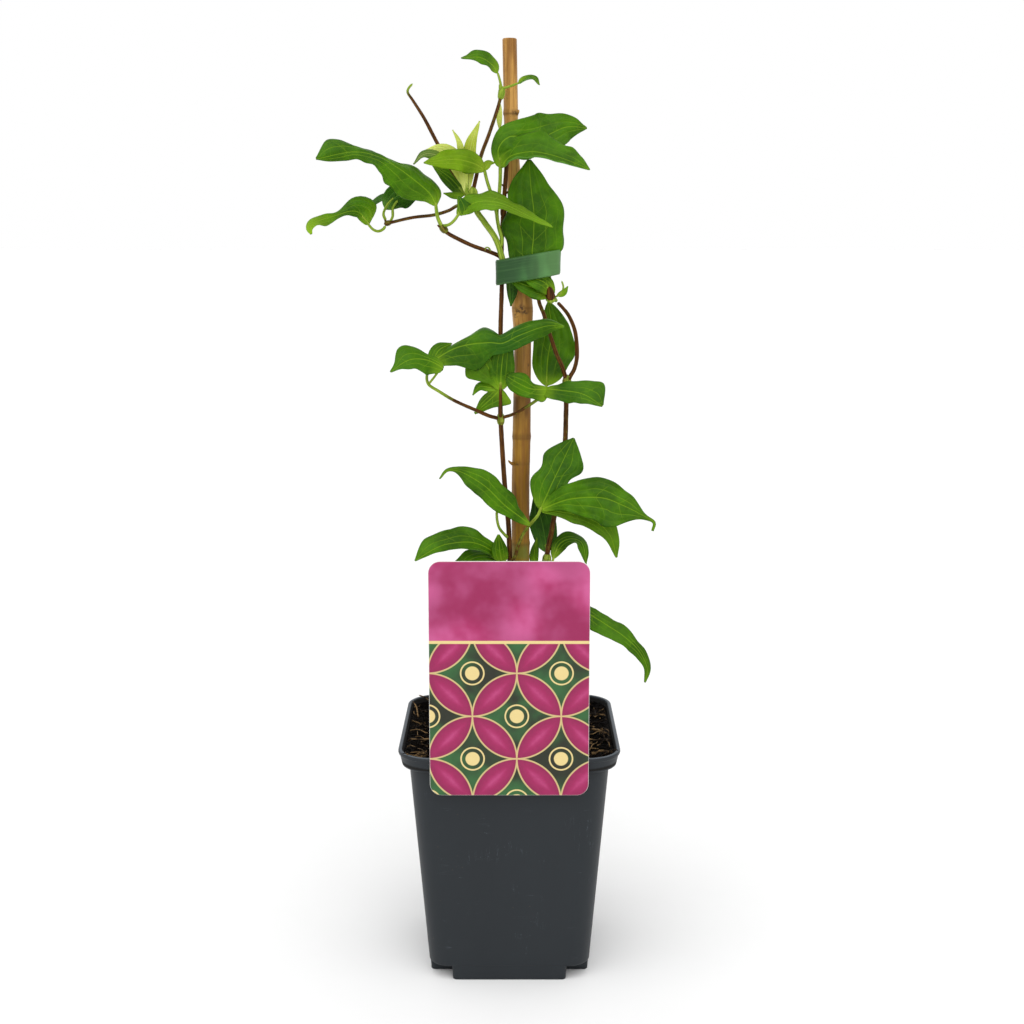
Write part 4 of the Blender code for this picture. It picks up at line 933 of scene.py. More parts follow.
class Repeater(NodeSheet):
    """A Geometry Nodes tree that is run once on a mesh and turned into a plain mesh."""

    def __init__(self, name: str, **inputs: float) -> None:
        """Start a tree.

        Args:
            name: the tree's name.
            inputs: its named inputs, each a number.
        """
        super().__init__(bpy.data.node_groups.new(name, "GeometryNodeTree"))
        face = self.tree.interface
        for in_out in ("INPUT", "OUTPUT"):
            face.new_socket("Geometry", in_out=in_out, socket_type="NodeSocketGeometry")
        self.values: dict[str, float] = {}
        for label, value in inputs.items():
            socket = face.new_socket(label, in_out="INPUT", socket_type="NodeSocketFloat")
            self.values[socket.identifier] = value
        self.given = self.add("NodeGroupInput").outputs
        self.sink = self.add("NodeGroupOutput")

    def vary(self, low: Point, high: Point, seed: int) -> Socket:
        """A random vector for each instance."""
        ends = {0: low, 1: high, "Seed": seed}
        return self.add("FunctionNodeRandomValue", ends, data_type="FLOAT_VECTOR").outputs[0]

    def strew(
        self, grain: object, density: object, keep: object, spin: Ends, size: Ends, seed: int,
        upright: bool = True,
    ) -> Socket:
        """Scatter copies of a shape over the faces of the base.

        Args:
            grain: the shape.
            density: copies for each square metre.
            keep: where they may lie.
            spin: least and greatest turns.
            size: least and greatest stretch.
            seed: fixes where they fall.
            upright: whether they stand by the world's axes, not by the face.

        Returns:
            The instances.
        """
        inputs = {"Mesh": self.given["Geometry"], "Density": density, "Seed": seed, "Selection": keep}
        spots = self.add("GeometryNodeDistributePointsOnFaces", inputs).outputs
        turned = self.vary(*spin, seed + 1)
        if not upright:
            both = {0: spots["Rotation"], 1: turned}
            node = self.add("FunctionNodeRotateEuler", both, rotation_type="EULER", space="LOCAL")
            turned = node.outputs[0]
        stretch = self.vary(*size, seed + 2)
        inputs = {"Points": spots[0], "Instance": grain, "Rotation": turned, "Scale": stretch}
        return self.add("GeometryNodeInstanceOnPoints", inputs).outputs[0]

    def run(self, base: Mesh, shape: object, material: Material) -> Mesh:
        """Realise the instances, set their material and return the plain mesh.

        Args:
            base: the mesh that the tree starts from.
            shape: the last geometry socket.
            material: the finish of what it makes.

        Returns:
            The new mesh.
        """
        real = self.add("GeometryNodeRealizeInstances", {0: shape})
        dressed = self.add("GeometryNodeSetMaterial", {"Geometry": real.outputs[0], "Material": material})
        self.feed(self.sink, {0: dressed.outputs[0]})
        holder = add_object(self.tree.name, base)
        modifier = holder.modifiers.new("repeat", "NODES")
        modifier.node_group = self.tree
        for identifier, value in self.values.items():
            modifier[identifier] = value
        made = applied(holder)
        holder.modifiers.remove(modifier)
        bpy.data.objects.remove(holder, do_unlink=True)
        return made


# Stalks and blades


@dataclass(frozen=True)
class Stalk:
    """A round stalk, node swelling or bud along a route.

    Radii run evenly from the first end to the last, and so does green: how green the rind is, from 0,
    brown, to 1.
    """

    route: Route
    radii: tuple[float, ...] = (0.6, 0.5)
    green: tuple[float, ...] = (0.85, 1)
    ridges: float = 0.07
    sides: int = 18
    step: float = 0.7

    def build(self, shape: Shape, seed: float) -> None:
        """Add the stalk to a shape.

        Args:
            shape: what it is added to.
            seed: shifts its unevenness.
        """
        places, ahead, length = even_stations(self.route, self.step, 8, 400)
        share = np.linspace(0, 1, len(places))
        radius = along(self.radii, share) * (1 + 0.05 * value_noise(places, 2.6, seed))
        # Rounded ends
        reach = share * length
        for gap in (reach, length - reach):
            inside = np.clip(1 - gap / np.maximum(radius, 0.05), 0, 1)
            radius = radius * np.sqrt(np.maximum(1 - inside**2, 0.02))
        hint = np.array((0.31, -0.9, 0.3))
        across = np.empty_like(places)
        for index, direction in enumerate(ahead):
            hint = hint - direction * hint.dot(direction)
            hint = hint / np.linalg.norm(hint)
            across[index] = hint
        beside = np.cross(ahead, across)
        angle = circle(self.sides)
        ribbed = radius[:, None] * (1 + self.ridges * np.cos(6 * angle))
        cosine, sine = np.cos(angle), np.sin(angle)
        spokes = across[:, None] * cosine[:, None] + beside[:, None] * sine[:, None]
        marks = joined(reach[:, None], cosine, sine)
        green = np.interp(share, np.linspace(0, 1, len(self.green)), self.green)
        tints = joined(green[:, None], seed, np.zeros_like(ribbed))
        rings = places[:, None] + spokes * ribbed[..., None]
        shape.add_tube(rings, places[[0, -1]], stalk_marks=marks, stalk_tint=tints)


@dataclass(frozen=True)
class Blade:
    """One leaf blade.

    The rib runs from stalk to tip. Left and right, seen from above towards the tip, are how far each
    half reaches: one number gives an egg shape, a row of numbers gives half widths from base to tip.
    Turn rolls the blade about its rib in degrees from base to tip, and fold bends each half up. Wave is
    the height of the edge waves and waves how many there are. Tone yellows the skin where it is above 0,
    and lays painted shade on it where it is below 0, from base to tip.
    """

    rib: Route
    left: Widths
    right: Widths
    face: Point = TOWARDS_VIEWER
    turn: tuple[float, ...] = (0, 0)
    fold: tuple[float, float] = (0, 0)
    wave: float = 0
    waves: float = 2
    tint_and_shade: tuple[float, ...] = (0, 0)

    # Millimetres, but WIDEST and TIP are shares of the length and VEINS of the half width
    STEP = 0.75
    LEAST = 0.3
    SHOULDER = 2.4
    WIDEST = 0.42
    TIP = 0.72
    MARGIN = 0.19
    MIDDLE = 0.34
    MIDRIB = 0.55
    VEINS = (0, 0.4, 0.75)
    LOBE = 17
    RIPPLES = (11, 6.3)
    SWELL = 0.3
    PUCKER = 0.22

    def reach(self, widths: Widths, share: Array, length: float, phase: float) -> Array:
        """Half width at shares of the length, with the margin's shallow lobes.

        Args:
            widths: the half's widths, as the class has them.
            share: places from base to tip.
            length: the rib's length.
            phase: shifts the lobes.

        Returns:
            One half width for each place.
        """
        if isinstance(widths, tuple):
            plain = np.maximum(self.LEAST, along(widths, share))
            # The base narrows to its stalk in a round shoulder
            rise = np.clip(share * length / self.SHOULDER, 0, 1)
            plain = plain * (0.3 + 0.7 * np.sqrt(rise * (2 - rise)))
        else:
            body = np.maximum(0, np.sin(math.pi * share ** (math.log(0.5) / math.log(self.WIDEST))))
            tip = np.maximum(0, (share - self.TIP) / (1 - self.TIP))
            plain = np.maximum(self.LEAST, widths * body**0.75 * (1 - 0.4 * tip * (1 - tip)))
        lobes = np.sin(FULL_TURN * (share * length / self.LOBE + phase)) * np.sin(math.pi * share)
        return plain * (1 + min(0.075, length / 400) * lobes)

    def build(self, shape: Shape, seed: float) -> None:
        """Add the blade, with its swollen tissue, sunken veins and thin margin, to a shape.

        Args:
            shape: what it is added to.
            seed: shifts its unevenness and its vein pattern.
        """
        places, ahead, length = even_stations(self.rib, self.STEP, 12, 96)
        share = np.linspace(0, 1, len(places))
        left = self.reach(self.left, share, length, 2.3 * seed)
        right = self.reach(self.right, share, length, 3.7 * seed + 0.4)
        half_columns = int(min(16, max(5, round(max(left.max(), right.max()) / self.STEP))))
        across = np.linspace(1, -1, 2 * half_columns + 1)
        hint = np.asarray(self.face, dtype=float)
        normal = unit(hint - ahead * (ahead @ hint)[:, None])
        roll = np.radians(along(self.turn, share))[:, None]
        normal = normal * np.cos(roll) + np.cross(ahead, normal) * np.sin(roll)
        side = np.cross(normal, ahead)
        on_left = across > 0
        bend = np.radians(np.where(on_left, *self.fold)) * np.abs(across)
        width = np.where(on_left, left[:, None], right[:, None])
        lift = self.surface(share[:, None], across, width, length, seed)
        aside = (np.cos(bend) * across * width)[..., None]
        above = (np.sin(bend) * np.abs(across) * width + lift)[..., None]
        middle = places[:, None] + side[:, None] * aside + normal[:, None] * above
        thick = self.MARGIN + (self.MIDDLE - self.MARGIN) * (1 - np.abs(across) ** 3)
        rib = self.MIDRIB * np.exp(-((across * width / 0.5) ** 2)) * (1 - 0.75 * share[:, None])
        upper = middle + normal[:, None] * (thick / 2)[..., None]
        lower = middle - normal[:, None] * (thick / 2 + rib)[..., None]
        tint_and_shade = np.interp(share, np.linspace(0, 1, len(self.tint_and_shade)), self.tint_and_shade)[:, None]
        plane = joined(across * width, share[:, None] * length, seed * 37)
        marks = joined(across, width, share[:, None])
        self.add_sheets(shape, upper, lower, (plane, marks, joined(0, tint_and_shade, np.zeros_like(width))))

    def surface(self, share: Array, across: Array, width: Array, length: float, seed: float) -> Array:
        """How far the blade stands off its flat shape: edge waves, margin ripples and swollen tissue.

        Args:
            share: places from base to tip, as a column.
            across: places across.
            width: half widths at every point.
            length: the rib's length.
            seed: shifts the waves.

        Returns:
            A height for every point.
        """
        other = (across > 0).astype(float)
        run = share * length
        beat = np.sin(FULL_TURN * self.waves * share + math.pi * other)
        swell = self.wave * np.sin(math.pi * share) * across**2 * beat
        room = np.clip(width / 5, 0.15, 1)
        ripple = np.sin(FULL_TURN * run / self.RIPPLES[0] + seed * 3 + 2.2 * other)
        ripple = ripple + 0.6 * np.sin(FULL_TURN * run / self.RIPPLES[1] + seed)
        lift = swell + 0.5 * room * np.abs(across) ** 3 * ripple
        ground = np.full_like(width, 99)
        for vein in self.VEINS:
            ground = np.minimum(ground, np.abs(np.abs(across) - vein) * width)
        lift = lift + self.SWELL * room * (1 - np.exp(-((ground / 0.9) ** 2)))
        puckers = np.sin(run * 0.72 - np.abs(across) * width * 0.6 + seed)
        return lift + self.PUCKER * room * puckers * (1 - np.exp(-ground))

    def add_sheets(self, shape: Shape, upper: Array, lower: Array, marks: Sequence[Array]) -> None:
        """Join the upper and the lower sheet along a shared margin and mark every point.

        Args:
            shape: what they are added to.
            upper: points of the upper sheet, row by row.
            lower: points of the lower sheet.
            marks: the upper sheet's place, share and side marks.
        """
        rows, columns = upper.shape[:2]
        edge = np.ones((rows, columns), dtype=bool)
        edge[1:-1, 1:-1] = False
        edge = edge.ravel()
        top = upper.reshape(-1, 3).copy()
        bottom = lower.reshape(-1, 3)
        top[edge] = (top[edge] + bottom[edge]) / 2
        below = np.where(edge, np.arange(rows * columns), rows * columns + np.cumsum(~edge) - 1)
        sheet = grid_faces(rows, columns)
        plane, share, side = (np.vstack([mark.reshape(-1, 3), mark.reshape(-1, 3)[~edge]]) for mark in marks)
        side[rows * columns :, 0] = 1
        shape.add(
            np.vstack([top, bottom[~edge]]), np.vstack([sheet, below[sheet][:, ::-1]]),
            blade_plane=plane, blade_marks=share, blade_side=side,
        )


# Sub-assemblies


@dataclass(frozen=True)
class LeafSpray:
    """The blades and stalks of one packed leaf solid."""

    node: str
    parts: Sequence[Stalk | Blade]
    age: LeafAgeAndShade = LeafAgeAndShade.MATURE


@dataclass
class Foliage:
    """All the leaves, each spray as a piece of blades and, where it has them, a piece of stalks."""

    sprays: Sequence[LeafSpray]
    stalk_skin: Material
    stalk_slot: str = "green_stalk"

    def build(self) -> None:
        """Build and dress every spray."""
        skins = {age: age.skin.material() for age in LeafAgeAndShade}
        for number, spray in enumerate(self.sprays):
            blades, stalks = Shape(), Shape()
            for index, part in enumerate(spray.parts):
                part.build(blades if isinstance(part, Blade) else stalks, number + 0.37 * index)
            place_piece(f"{spray.node}_blades", blades, skins[spray.age], spray.age.value, spray.node)
            if stalks.count:
                name = f"{spray.node}_stalks"
                place_piece(name, stalks, self.stalk_skin, self.stalk_slot, spray.node)


@dataclass(frozen=True)
class Stem:
    """One packed stem solid, with its nodes, spurs and buds."""

    node: str
    parts: Sequence[Stalk]
    slot: str = "brown_stem"


@dataclass
class Stems:
    """The woody stems and young shoots, with short hairs where they are young."""

    stems: Sequence[Stem]
    skin: Material
    hair: HairFloss = field(default_factory=HairFloss)
    hair_length: float = 0.45
    hair_width: float = 0.035
    hairs_per_mm2: float = 1.6

    def build(self) -> None:
        """Build and dress every stem, and gather the hairs in one piece."""
        coats = Shape()
        for number, stem in enumerate(self.stems):
            shape = Shape()
            for index, part in enumerate(stem.parts):
                part.build(shape, 40 + number + 0.37 * index)
                part.build(coats, 40 + number + 0.37 * index)
            place_piece(f"{stem.node}_bark", shape, self.skin, stem.slot, stem.node)
        self.grow_hairs(coats.mesh("stem_coat"))

    def grow_hairs(self, coat: Mesh) -> None:
        """Scatter short hairs over the stems, more of them where the rind is green.

        Args:
            coat: all the stems as one mesh.
        """
        length, width = self.hair_length * MM, self.hair_width * MM
        tree = Repeater("stem_hairs", Length=length, Width=width, Density=self.hairs_per_mm2 / MM**2)
        given = tree.given
        named = {"Name": "stalk_tint"}
        tint = tree.add("GeometryNodeInputNamedAttribute", named, data_type="FLOAT_VECTOR").outputs[0]
        green = tree.add("ShaderNodeSeparateXYZ", {0: tint}).outputs[0]
        amount = tree.math("MULTIPLY", tree.math("MULTIPLY_ADD", green, 0.9, 0.1), given["Density"])
        sizes = {"Vertices": 3, "Radius Bottom": given["Width"], "Radius Top": 0, "Depth": given["Length"]}
        cone = tree.add("GeometryNodeMeshCone", sizes).outputs[0]
        spin = ((-0.5, -0.5, 0), (0.5, 0.5, FULL_TURN))
        size = ((1, 1, 0.5), (1, 1, 1.2))
        hairs = tree.strew(cone, amount, True, spin, size, 7, upright=False)
        material = self.hair.material()
        place_piece("stem_hair", tree.run(coat, hairs, material), material, "green_stalk")


@dataclass
class Cane:
    """The bamboo cane: fluted internodes, ridged nodes, a stub and a hollow sawn top.

    The profile gives height, middle and radius. Rings are a node's height and strength, stains are blots
    on the skin, each a place and a size, and each spur has a route and radii.
    """

    node: str = "cane"
    slot: str = "bamboo"
    skin: BambooSkin = field(default_factory=BambooSkin)
    profile: Sequence[Point] = (
        (30, 4.5, 3.6), (171, 4.6, 3.75), (176.5, 4.6, 3.8), (178.5, 4.6, 4), (180.5, 4.6, 3.7),
        (204.5, 4.6, 3.75), (221, 5, 3.75), (223, 5, 4), (225, 5, 3.8), (262, 5.4, 3.5),
        (270, 5.4, 4.1), (274.5, 5.3, 4.4), (277, 5.2, 4.3), (299, 4, 3.6), (334, 1.3, 2.75),
        (350.5, 0.6, 2.8), (352.3, 0.6, 3.1), (354, 0.6, 2.85), (381, 0.1, 2.85),
    )
    rings: Sequence[tuple[float, float]] = (
        (178.3, 0.2), (212.2, 0.15), (222.8, 0.3), (224, 0.18), (239.2, 0.12), (274.2, 0.12), (275.6, 0.2),
        (352.1, 0.4), (353.2, 0.15),
    )
    stains: Sequence[tuple[Point, float]] = (
        ((2.6, -3.3, 272.7), 1), ((3.6, -4, 274.4), 1.3), ((4.8, -4.3, 275.7), 1.5),
        ((6.3, -4.1, 274.2), 1.4), ((7.6, -2.9, 252.6), 0.8), ((3.4, -3.6, 212.3), 0.9),
        ((2.2, -2.8, 352.3), 1), ((5, 4, 300), 2), ((6, 3, 190), 2.4),
    )
    sides: int = 48
    step: float = 0.7
    bore: float = 1.5
    bore_depth: float = 14
    flute: float = 0.05
    spurs: Sequence[tuple[Route, Point]] = (
        (((2, -2.4, 211.8), (0.6, -3.2, 212.6), (-0.5, -3.7, 213.8)), (0.8, 0.55, 0.25)),
        (((2.4, -1.6, 351.4), (3.3, -2, 352.4), (3.9, -2.2, 353.6)), (0.5, 0.6, 0.3)),
    )

    def build(self) -> None:
        """Build the cane with its spurs and dress it."""
        table = np.asarray(self.profile)
        top = table[-1, 0]
        shaft = np.arange(table[0, 0], top - 0.6, self.step)
        heights = np.concatenate([shaft, top - np.array((0.5, 0.25, 0.1, 0.02, 0))])
        radius = np.interp(heights, table[:, 0], table[:, 2])
        lean = np.interp(heights, table[:, 0], table[:, 1])
        kernel = np.exp(-0.5 * (np.arange(-6, 7) / 3) ** 2)
        lean = np.convolve(np.pad(lean, 6, mode="edge"), kernel / kernel.sum(), mode="valid")
        for height, strength in self.rings:
            gap = heights - height
            bulge = 0.16 * np.exp(-((gap - 0.5) ** 2) / 0.35)
            radius += strength * (bulge - 0.2 * np.exp(-((gap + 0.7) ** 2) / 0.12))
        radius -= 0.35 * np.clip((heights - (top - 0.5)) / 0.5, 0, 1) ** 3
        angle = circle(self.sides)
        rise = heights[:, None]
        # Each internode has one flat flute on the side of the bud below it
        around = np.mod(angle - 1 - 0.004 * rise, FULL_TURN)
        fluted = 1 - self.flute * np.exp(-((around - 1.2) ** 2) / 0.2)
        ragged = 1 + 0.012 * np.sin(7 * angle + 0.02 * rise) + 0.006 * np.sin(17 * angle - 0.015 * rise)
        outer = self.ring_points(heights, lean, radius[:, None] * fluted * ragged, angle)
        inner_heights = top - np.array((0.02, 0.35, 1.2, self.bore_depth))
        inner_reach = np.array((2.1, self.bore + 0.2, self.bore, self.bore * 0.8))[:, None]
        inner_reach = inner_reach * (1 + 0.08 * np.sin(3 * angle + 0.6))
        inner = self.ring_points(inner_heights, np.full(4, table[-1, 1]), inner_reach, angle)
        rings = np.concatenate([outer, inner])
        shape = Shape()
        shape.add_tube(rings, cane_marks=self.marks(rings))
        for route, radii in self.spurs:
            stub = Shape()
            Stalk(route, radii, sides=14, step=0.4).build(stub, 5)
            shape.add(stub.points[0], stub.faces[0], cane_marks=self.marks(stub.points[0]))
        place_piece("cane_culm", shape, self.skin.material(), self.slot, self.node)

    @staticmethod
    def ring_points(heights: Array, lean: Array, reach: Array, angle: Array) -> Array:
        """Points of rings about the cane's middle line, from rows of sizes and one row of angles."""
        return joined(lean[:, None] + reach * np.cos(angle), reach * np.sin(angle), heights[:, None])

    def marks(self, points: Array) -> Array:
        """Marks of the cane's skin.

        Args:
            points: places on it.

        Returns:
            Height, how near a node ring is, and how stained the skin is, for each place.
        """
        height = points[..., 2]
        ring, stain = np.zeros_like(height), np.zeros_like(height)
        for place, strength in self.rings:
            ring = np.maximum(ring, 2.2 * strength * np.exp(-(((height - place) / 0.6) ** 2)))
        for place, size in self.stains:
            gap = np.linalg.norm(points - np.asarray(place), axis=-1)
            stain = np.maximum(stain, np.exp(-((gap / size) ** 4)))
        return joined(height, ring, stain)


@dataclass
class Tie:
    """The loop of green tape round the cane, the stems and one leaf."""

    node: str = "tie"
    slot: str = "tie_tape"
    skin: TyingTape = field(default_factory=TyingTape)
    width: float = 9.9
    thickness: float = 0.62
    height: float = 292
    middle_x: float = 7.2
    rise: float = 0.17
    crease: float = 0.16
    pieces: int = 12
    plan: Sequence[tuple[float, float]] = (
        (-4.9, -6.5), (-4.4, -10.6), (0.4, -12.1), (8.2, -12.4), (15.4, -11.8), (19.7, -8.8),
        (19.6, -4.2), (15, 1), (8.8, 4.3), (4.3, 4.75), (0.4, 3.4), (-3.1, -1.5),
    )

    def build(self) -> None:
        """Sweep the tape's soft-edged section round the loop and dress it."""
        knots = [(x, y, self.height + (x - self.middle_x) * self.rise) for x, y in self.plan]
        spots = 2 + np.arange(self.pieces * len(knots)) / self.pieces
        line = spline([*knots[-2:], *knots, *knots[:2]], spots)
        ahead = unit(np.roll(line, -1, axis=0) - np.roll(line, 1, axis=0))
        up = np.array((0, 0, 1))
        out = unit(np.cross(ahead, up))
        levels = np.linspace(-1, 1, 15)
        edge = np.sqrt(np.maximum(0, 1 - np.abs(levels) ** 14)) * 0.5
        half = np.concatenate([edge, -edge[-2:0:-1]])[None]
        level = np.concatenate([levels, levels[-2:0:-1]])[None]
        turn = circle(len(line))[:, None]
        # Slack in the tape: slow waves along it and a slight curl of its edges
        wave = self.crease * (np.sin(5 * turn) + 0.6 * np.sin(11 * turn + 1))
        offset = half * self.thickness + 0.12 * level**2 + 0.6 * wave * level
        rise = level * self.width / 2 * (1 + 0.012 * np.sin(4 * turn + 0.5))
        points = line[:, None] + out[:, None] * offset[..., None] + up * rise[..., None]
        count, around = points.shape[:2]
        reach = (line[:, 0] + 1.7 * line[:, 1])[:, None]
        selvedge = np.clip((np.abs(level) - 0.88) * 9, 0, 1)
        marks = joined(reach, level * self.width / 2, selvedge)
        faces = grid_faces(count + 1, around, True) % (count * around)
        shape = Shape()
        shape.add(points.reshape(-1, 3), faces, tape_marks=marks.reshape(-1, 3))
        place_piece("tie_loop", shape, self.skin.material(), self.slot, self.node)


@dataclass
class Label:
    """The picture card on the front of the pot, with a tongue over the rim into the soil."""

    node: str = "label"
    slot: str = "label_card"
    skin: PrintedCard = field(default_factory=PrintedCard)
    half_width: float = 31.5
    bottom: float = 85.3
    top: float = 180.3
    back: float = -45.4
    thickness: float = 0.9
    corner: float = 4.7
    tongue_half: float = 6
    tongue_thickness: float = 0.9
    tongue_y: float = -34
    tongue_top: float = 102
    tongue_bottom: float = 48
    tongue_bend: float = 2.2
    tongue_point: float = 9

    def outline(self, inset: float, y: float, scale: float = 1) -> Array:
        """Points round the card.

        Args:
            inset: how far they are taken in.
            y: their depth.
            scale: draws them to the card's middle.

        Returns:
            One row for each point.
        """
        half_height = (self.top - self.bottom) / 2
        ring = rounded_ring(self.half_width - inset, half_height - inset, self.corner - inset, 0, 9, 3)
        return ring[:, [0, 2, 1]] * scale + (0, y, (self.top + self.bottom) / 2)

    def build(self) -> None:
        """Build the card, printed up to its worn edge, and its tongue, and dress them."""
        front = self.back - self.thickness
        levels = (
            (0.34, self.back, 0), (0.1, self.back - 0.06, 0), (0, self.back - 0.25, 0),
            (0, front + 0.25, 0), (0.06, front + 0.09, 0.1), (0.14, front + 0.03, 0.8), (0.3, front, 1),
        )
        rings = [self.outline(inset, y) for inset, y, _ in levels]
        rings += [self.outline(0.3, front, share) for share in (0.8, 0.6, 0.4, 0.2)]
        ink = np.array([share for *_, share in levels] + [1] * 4)[:, None, None]
        shape = Shape()
        shape.add_tube(np.stack(rings), card_marks=ink * np.ones((1, len(rings[0]), 1)) * (1, 0, 0))
        self.add_tongue(shape)
        place_piece("label_card_print", shape, self.skin.material(), self.slot, self.node)

    def add_tongue(self, shape: Shape) -> None:
        """Bend the tongue from the card's back over the rim and down to its point in the soil.

        Args:
            shape: what it is added to.
        """
        bend, half = self.tongue_bend, self.tongue_thickness / 2
        angle = np.linspace(0, math.pi / 2, 10)
        corner_y = self.tongue_y - bend * (1 - np.sin(angle))
        corner_z = self.tongue_top - bend * (1 - np.cos(angle))
        down = np.linspace(self.tongue_top - bend - 1, self.tongue_bottom, 24)
        start = [(self.back - 0.2, self.tongue_top), (self.back + 3, self.tongue_top)]
        line = np.vstack([start, joined(corner_y, corner_z), joined(self.tongue_y, down)])
        ahead = unit(np.gradient(line, axis=0))
        out = joined(-ahead[:, 1], ahead[:, 0])
        taper = np.clip((self.tongue_bottom + self.tongue_point - line[:, 1]) / self.tongue_point, 0, 1)
        width = self.tongue_half * (1 - 0.75 * taper)
        rings = []
        for place, away, reach in zip(line, out, width):
            section = rounded_ring(reach, half, half * 0.6, 0, 2, 2)
            rings.append(np.column_stack([section[:, 0], place + away * section[:, 1:2]]))
        rings = np.stack(rings)
        shape.add_tube(rings, card_marks=np.zeros_like(rings))


@dataclass
class Pot:
    """The square nursery pot: tapered body, rim band with a small lip, crossed feet and drain holes.

    Rim gives height, half width and corner radius, up the outside and down the inside.
    """

    node: str = "pot"
    slot: str = "nursery_plastic"
    skin: MouldedPolypropylene = field(default_factory=MouldedPolypropylene)
    band_bottom: float = 93.2
    body_half_top: float = 40.6
    body_half_bottom: float = 33.4
    body_radius_top: float = 11
    body_radius_bottom: float = 9
    foot_height: float = 6
    foot_half: float = 23.9
    foot_taper: float = 0.4
    wall: float = 1.1
    floor: float = 1.6
    drain_radius: float = 3.5
    drain_offset: float = 27
    bar_corner: float = 1.6
    rim: Sequence[Point] = (
        (93.2, 40.75, 11.1), (93.3, 41.3, 11.5), (93.42, 42.8, 12.4), (93.52, 43.2, 12.6),
        (93.72, 43.43, 12.75), (94.2, 43.55, 12.8), (95.6, 43.85, 13), (97.2, 44.15, 13.1),
        (98.05, 44.3, 13.2), (98.2, 44.42, 13.3), (98.32, 44.68, 13.55), (98.46, 44.84, 13.7),
        (98.75, 44.93, 13.8), (99.2, 45, 13.9), (99.55, 44.96, 13.86), (99.82, 44.8, 13.74),
        (99.97, 44.5, 13.5), (100, 44.15, 13.2), (99.97, 43.82, 12.9), (99.8, 43.56, 12.7),
        (99.4, 43.44, 12.5), (97.8, 43.2, 12.1), (95.8, 42.75, 11.7), (95.3, 42.5, 11.6), (95, 41.8, 11.2),
        (94.6, 40.4, 10.4), (94.3, 39.8, 10), (93.8, 39.55, 9.9),
    )

    def body(self, height: float, inset: float = 0) -> tuple[float, float]:
        """Size of the tapered body.

        Args:
            height: where it is measured.
            inset: how far it is taken in.

        Returns:
            Half width and corner radius.
        """
        share = (height - self.foot_height) / (self.band_bottom - self.foot_height)
        half = self.body_half_bottom + (self.body_half_top - self.body_half_bottom) * share
        radius = self.body_radius_bottom + (self.body_radius_top - self.body_radius_bottom) * share
        return half - inset, radius - inset

    def levels(self) -> list[Point]:
        """Rings of the whole wall, up the outside and down the inside.

        Returns:
            Height, half width and corner radius of each.
        """
        soft_foot = ((6, 1.3), (6.04, 0.8), (6.2, 0.36), (6.45, 0.1), (6.8, 0))
        up = [(height, *self.body(height, inset)) for height, inset in soft_foot]
        wall = (7.4, 9, 16, 28, 42, 56, 70, 82, 90, 92.4, 93)
        up += [(height, *self.body(height)) for height in wall]
        down = ((90, 0), (70, 0), (40, 0), (12, 0), (9, 0), (8.2, 0), (7.75, 0.25), (7.6, 0.7))
        return [*up, *self.rim, *((height, *self.body(height, self.wall + inset)) for height, inset in down)]

    def bars(self, inset: float, bottom: float) -> list[Object]:
        """The two crossed bars under the pot, with softened edges and a slight lean inwards.

        Args:
            inset: how much smaller they are, for the hollow inside them.
            bottom: height of their underside.

        Returns:
            A working object for each bar.
        """
        reach = (self.body_half_bottom - 0.1 - inset, self.foot_half - inset)
        top = self.foot_height + self.floor + (0.2 if inset else -0.4)
        made = []
        for half_x, half_y in (reach, reach[::-1]):
            rings = []
            edge = ((0, 0.5), (0.07, 0.25), (0.25, 0.07), (0.5, 0), (top - bottom, -self.foot_taper))
            for rise, soft in edge:
                size = (half_x - self.foot_taper - soft, half_y - self.foot_taper - soft)
                rings.append(rounded_ring(*size, self.bar_corner, bottom + rise, 5, 0))
            made.append(self.working(rings))
        return made

    def drains(self) -> list[Object]:
        """Cutters for the four drain holes.

        Returns:
            A working object for each.
        """
        radius, away = self.drain_radius, self.drain_offset
        corners = ((-away, -away, 0), (-away, away, 0), (away, -away, 0), (away, away, 0))
        ends = [rounded_ring(radius, radius, radius - 0.01, height, 8, 0) for height in (-1, 19)]
        return [self.working([ring + corner for ring in ends]) for corner in corners]

    @staticmethod
    def working(rings: Sequence[Array]) -> Object:
        """Close a stack of rings.

        Args:
            rings: points of each ring, from below.

        Returns:
            A working object.
        """
        shape = Shape()
        shape.add_tube(np.stack(rings))
        return add_object("working", shape.mesh("working"))

    @staticmethod
    def combine(target: Object, others: Sequence[Object], operation: str) -> None:
        """Join or cut a working object with others, which are then removed.

        Args:
            target: what is changed.
            others: what it is joined or cut with.
            operation: the modifier's name for the step.
        """
        for other in others:
            modifier = target.modifiers.new("boolean", "BOOLEAN")
            modifier.operation = operation
            modifier.solver = "EXACT"
            modifier.object = other
        made = applied(target)
        target.modifiers.clear()
        target.data = made
        for other in others:
            bpy.data.objects.remove(other, do_unlink=True)

    def build(self) -> None:
        """Build the cup, join the feet, cut the drains and dress it."""
        rings = [rounded_ring(half, half, radius, height) for height, half, radius in self.levels()]
        cup = self.working(rings)
        self.combine(cup, self.bars(0, 0), "UNION")
        self.combine(cup, [*self.bars(self.wall, self.floor), *self.drains()], "DIFFERENCE")
        mesh = cup.data
        bpy.data.objects.remove(cup, do_unlink=True)
        mesh.shade_smooth()
        mesh.set_sharp_from_angle(angle=math.radians(32))
        place_piece("pot_shell", mesh, self.skin.material(), self.slot, self.node)


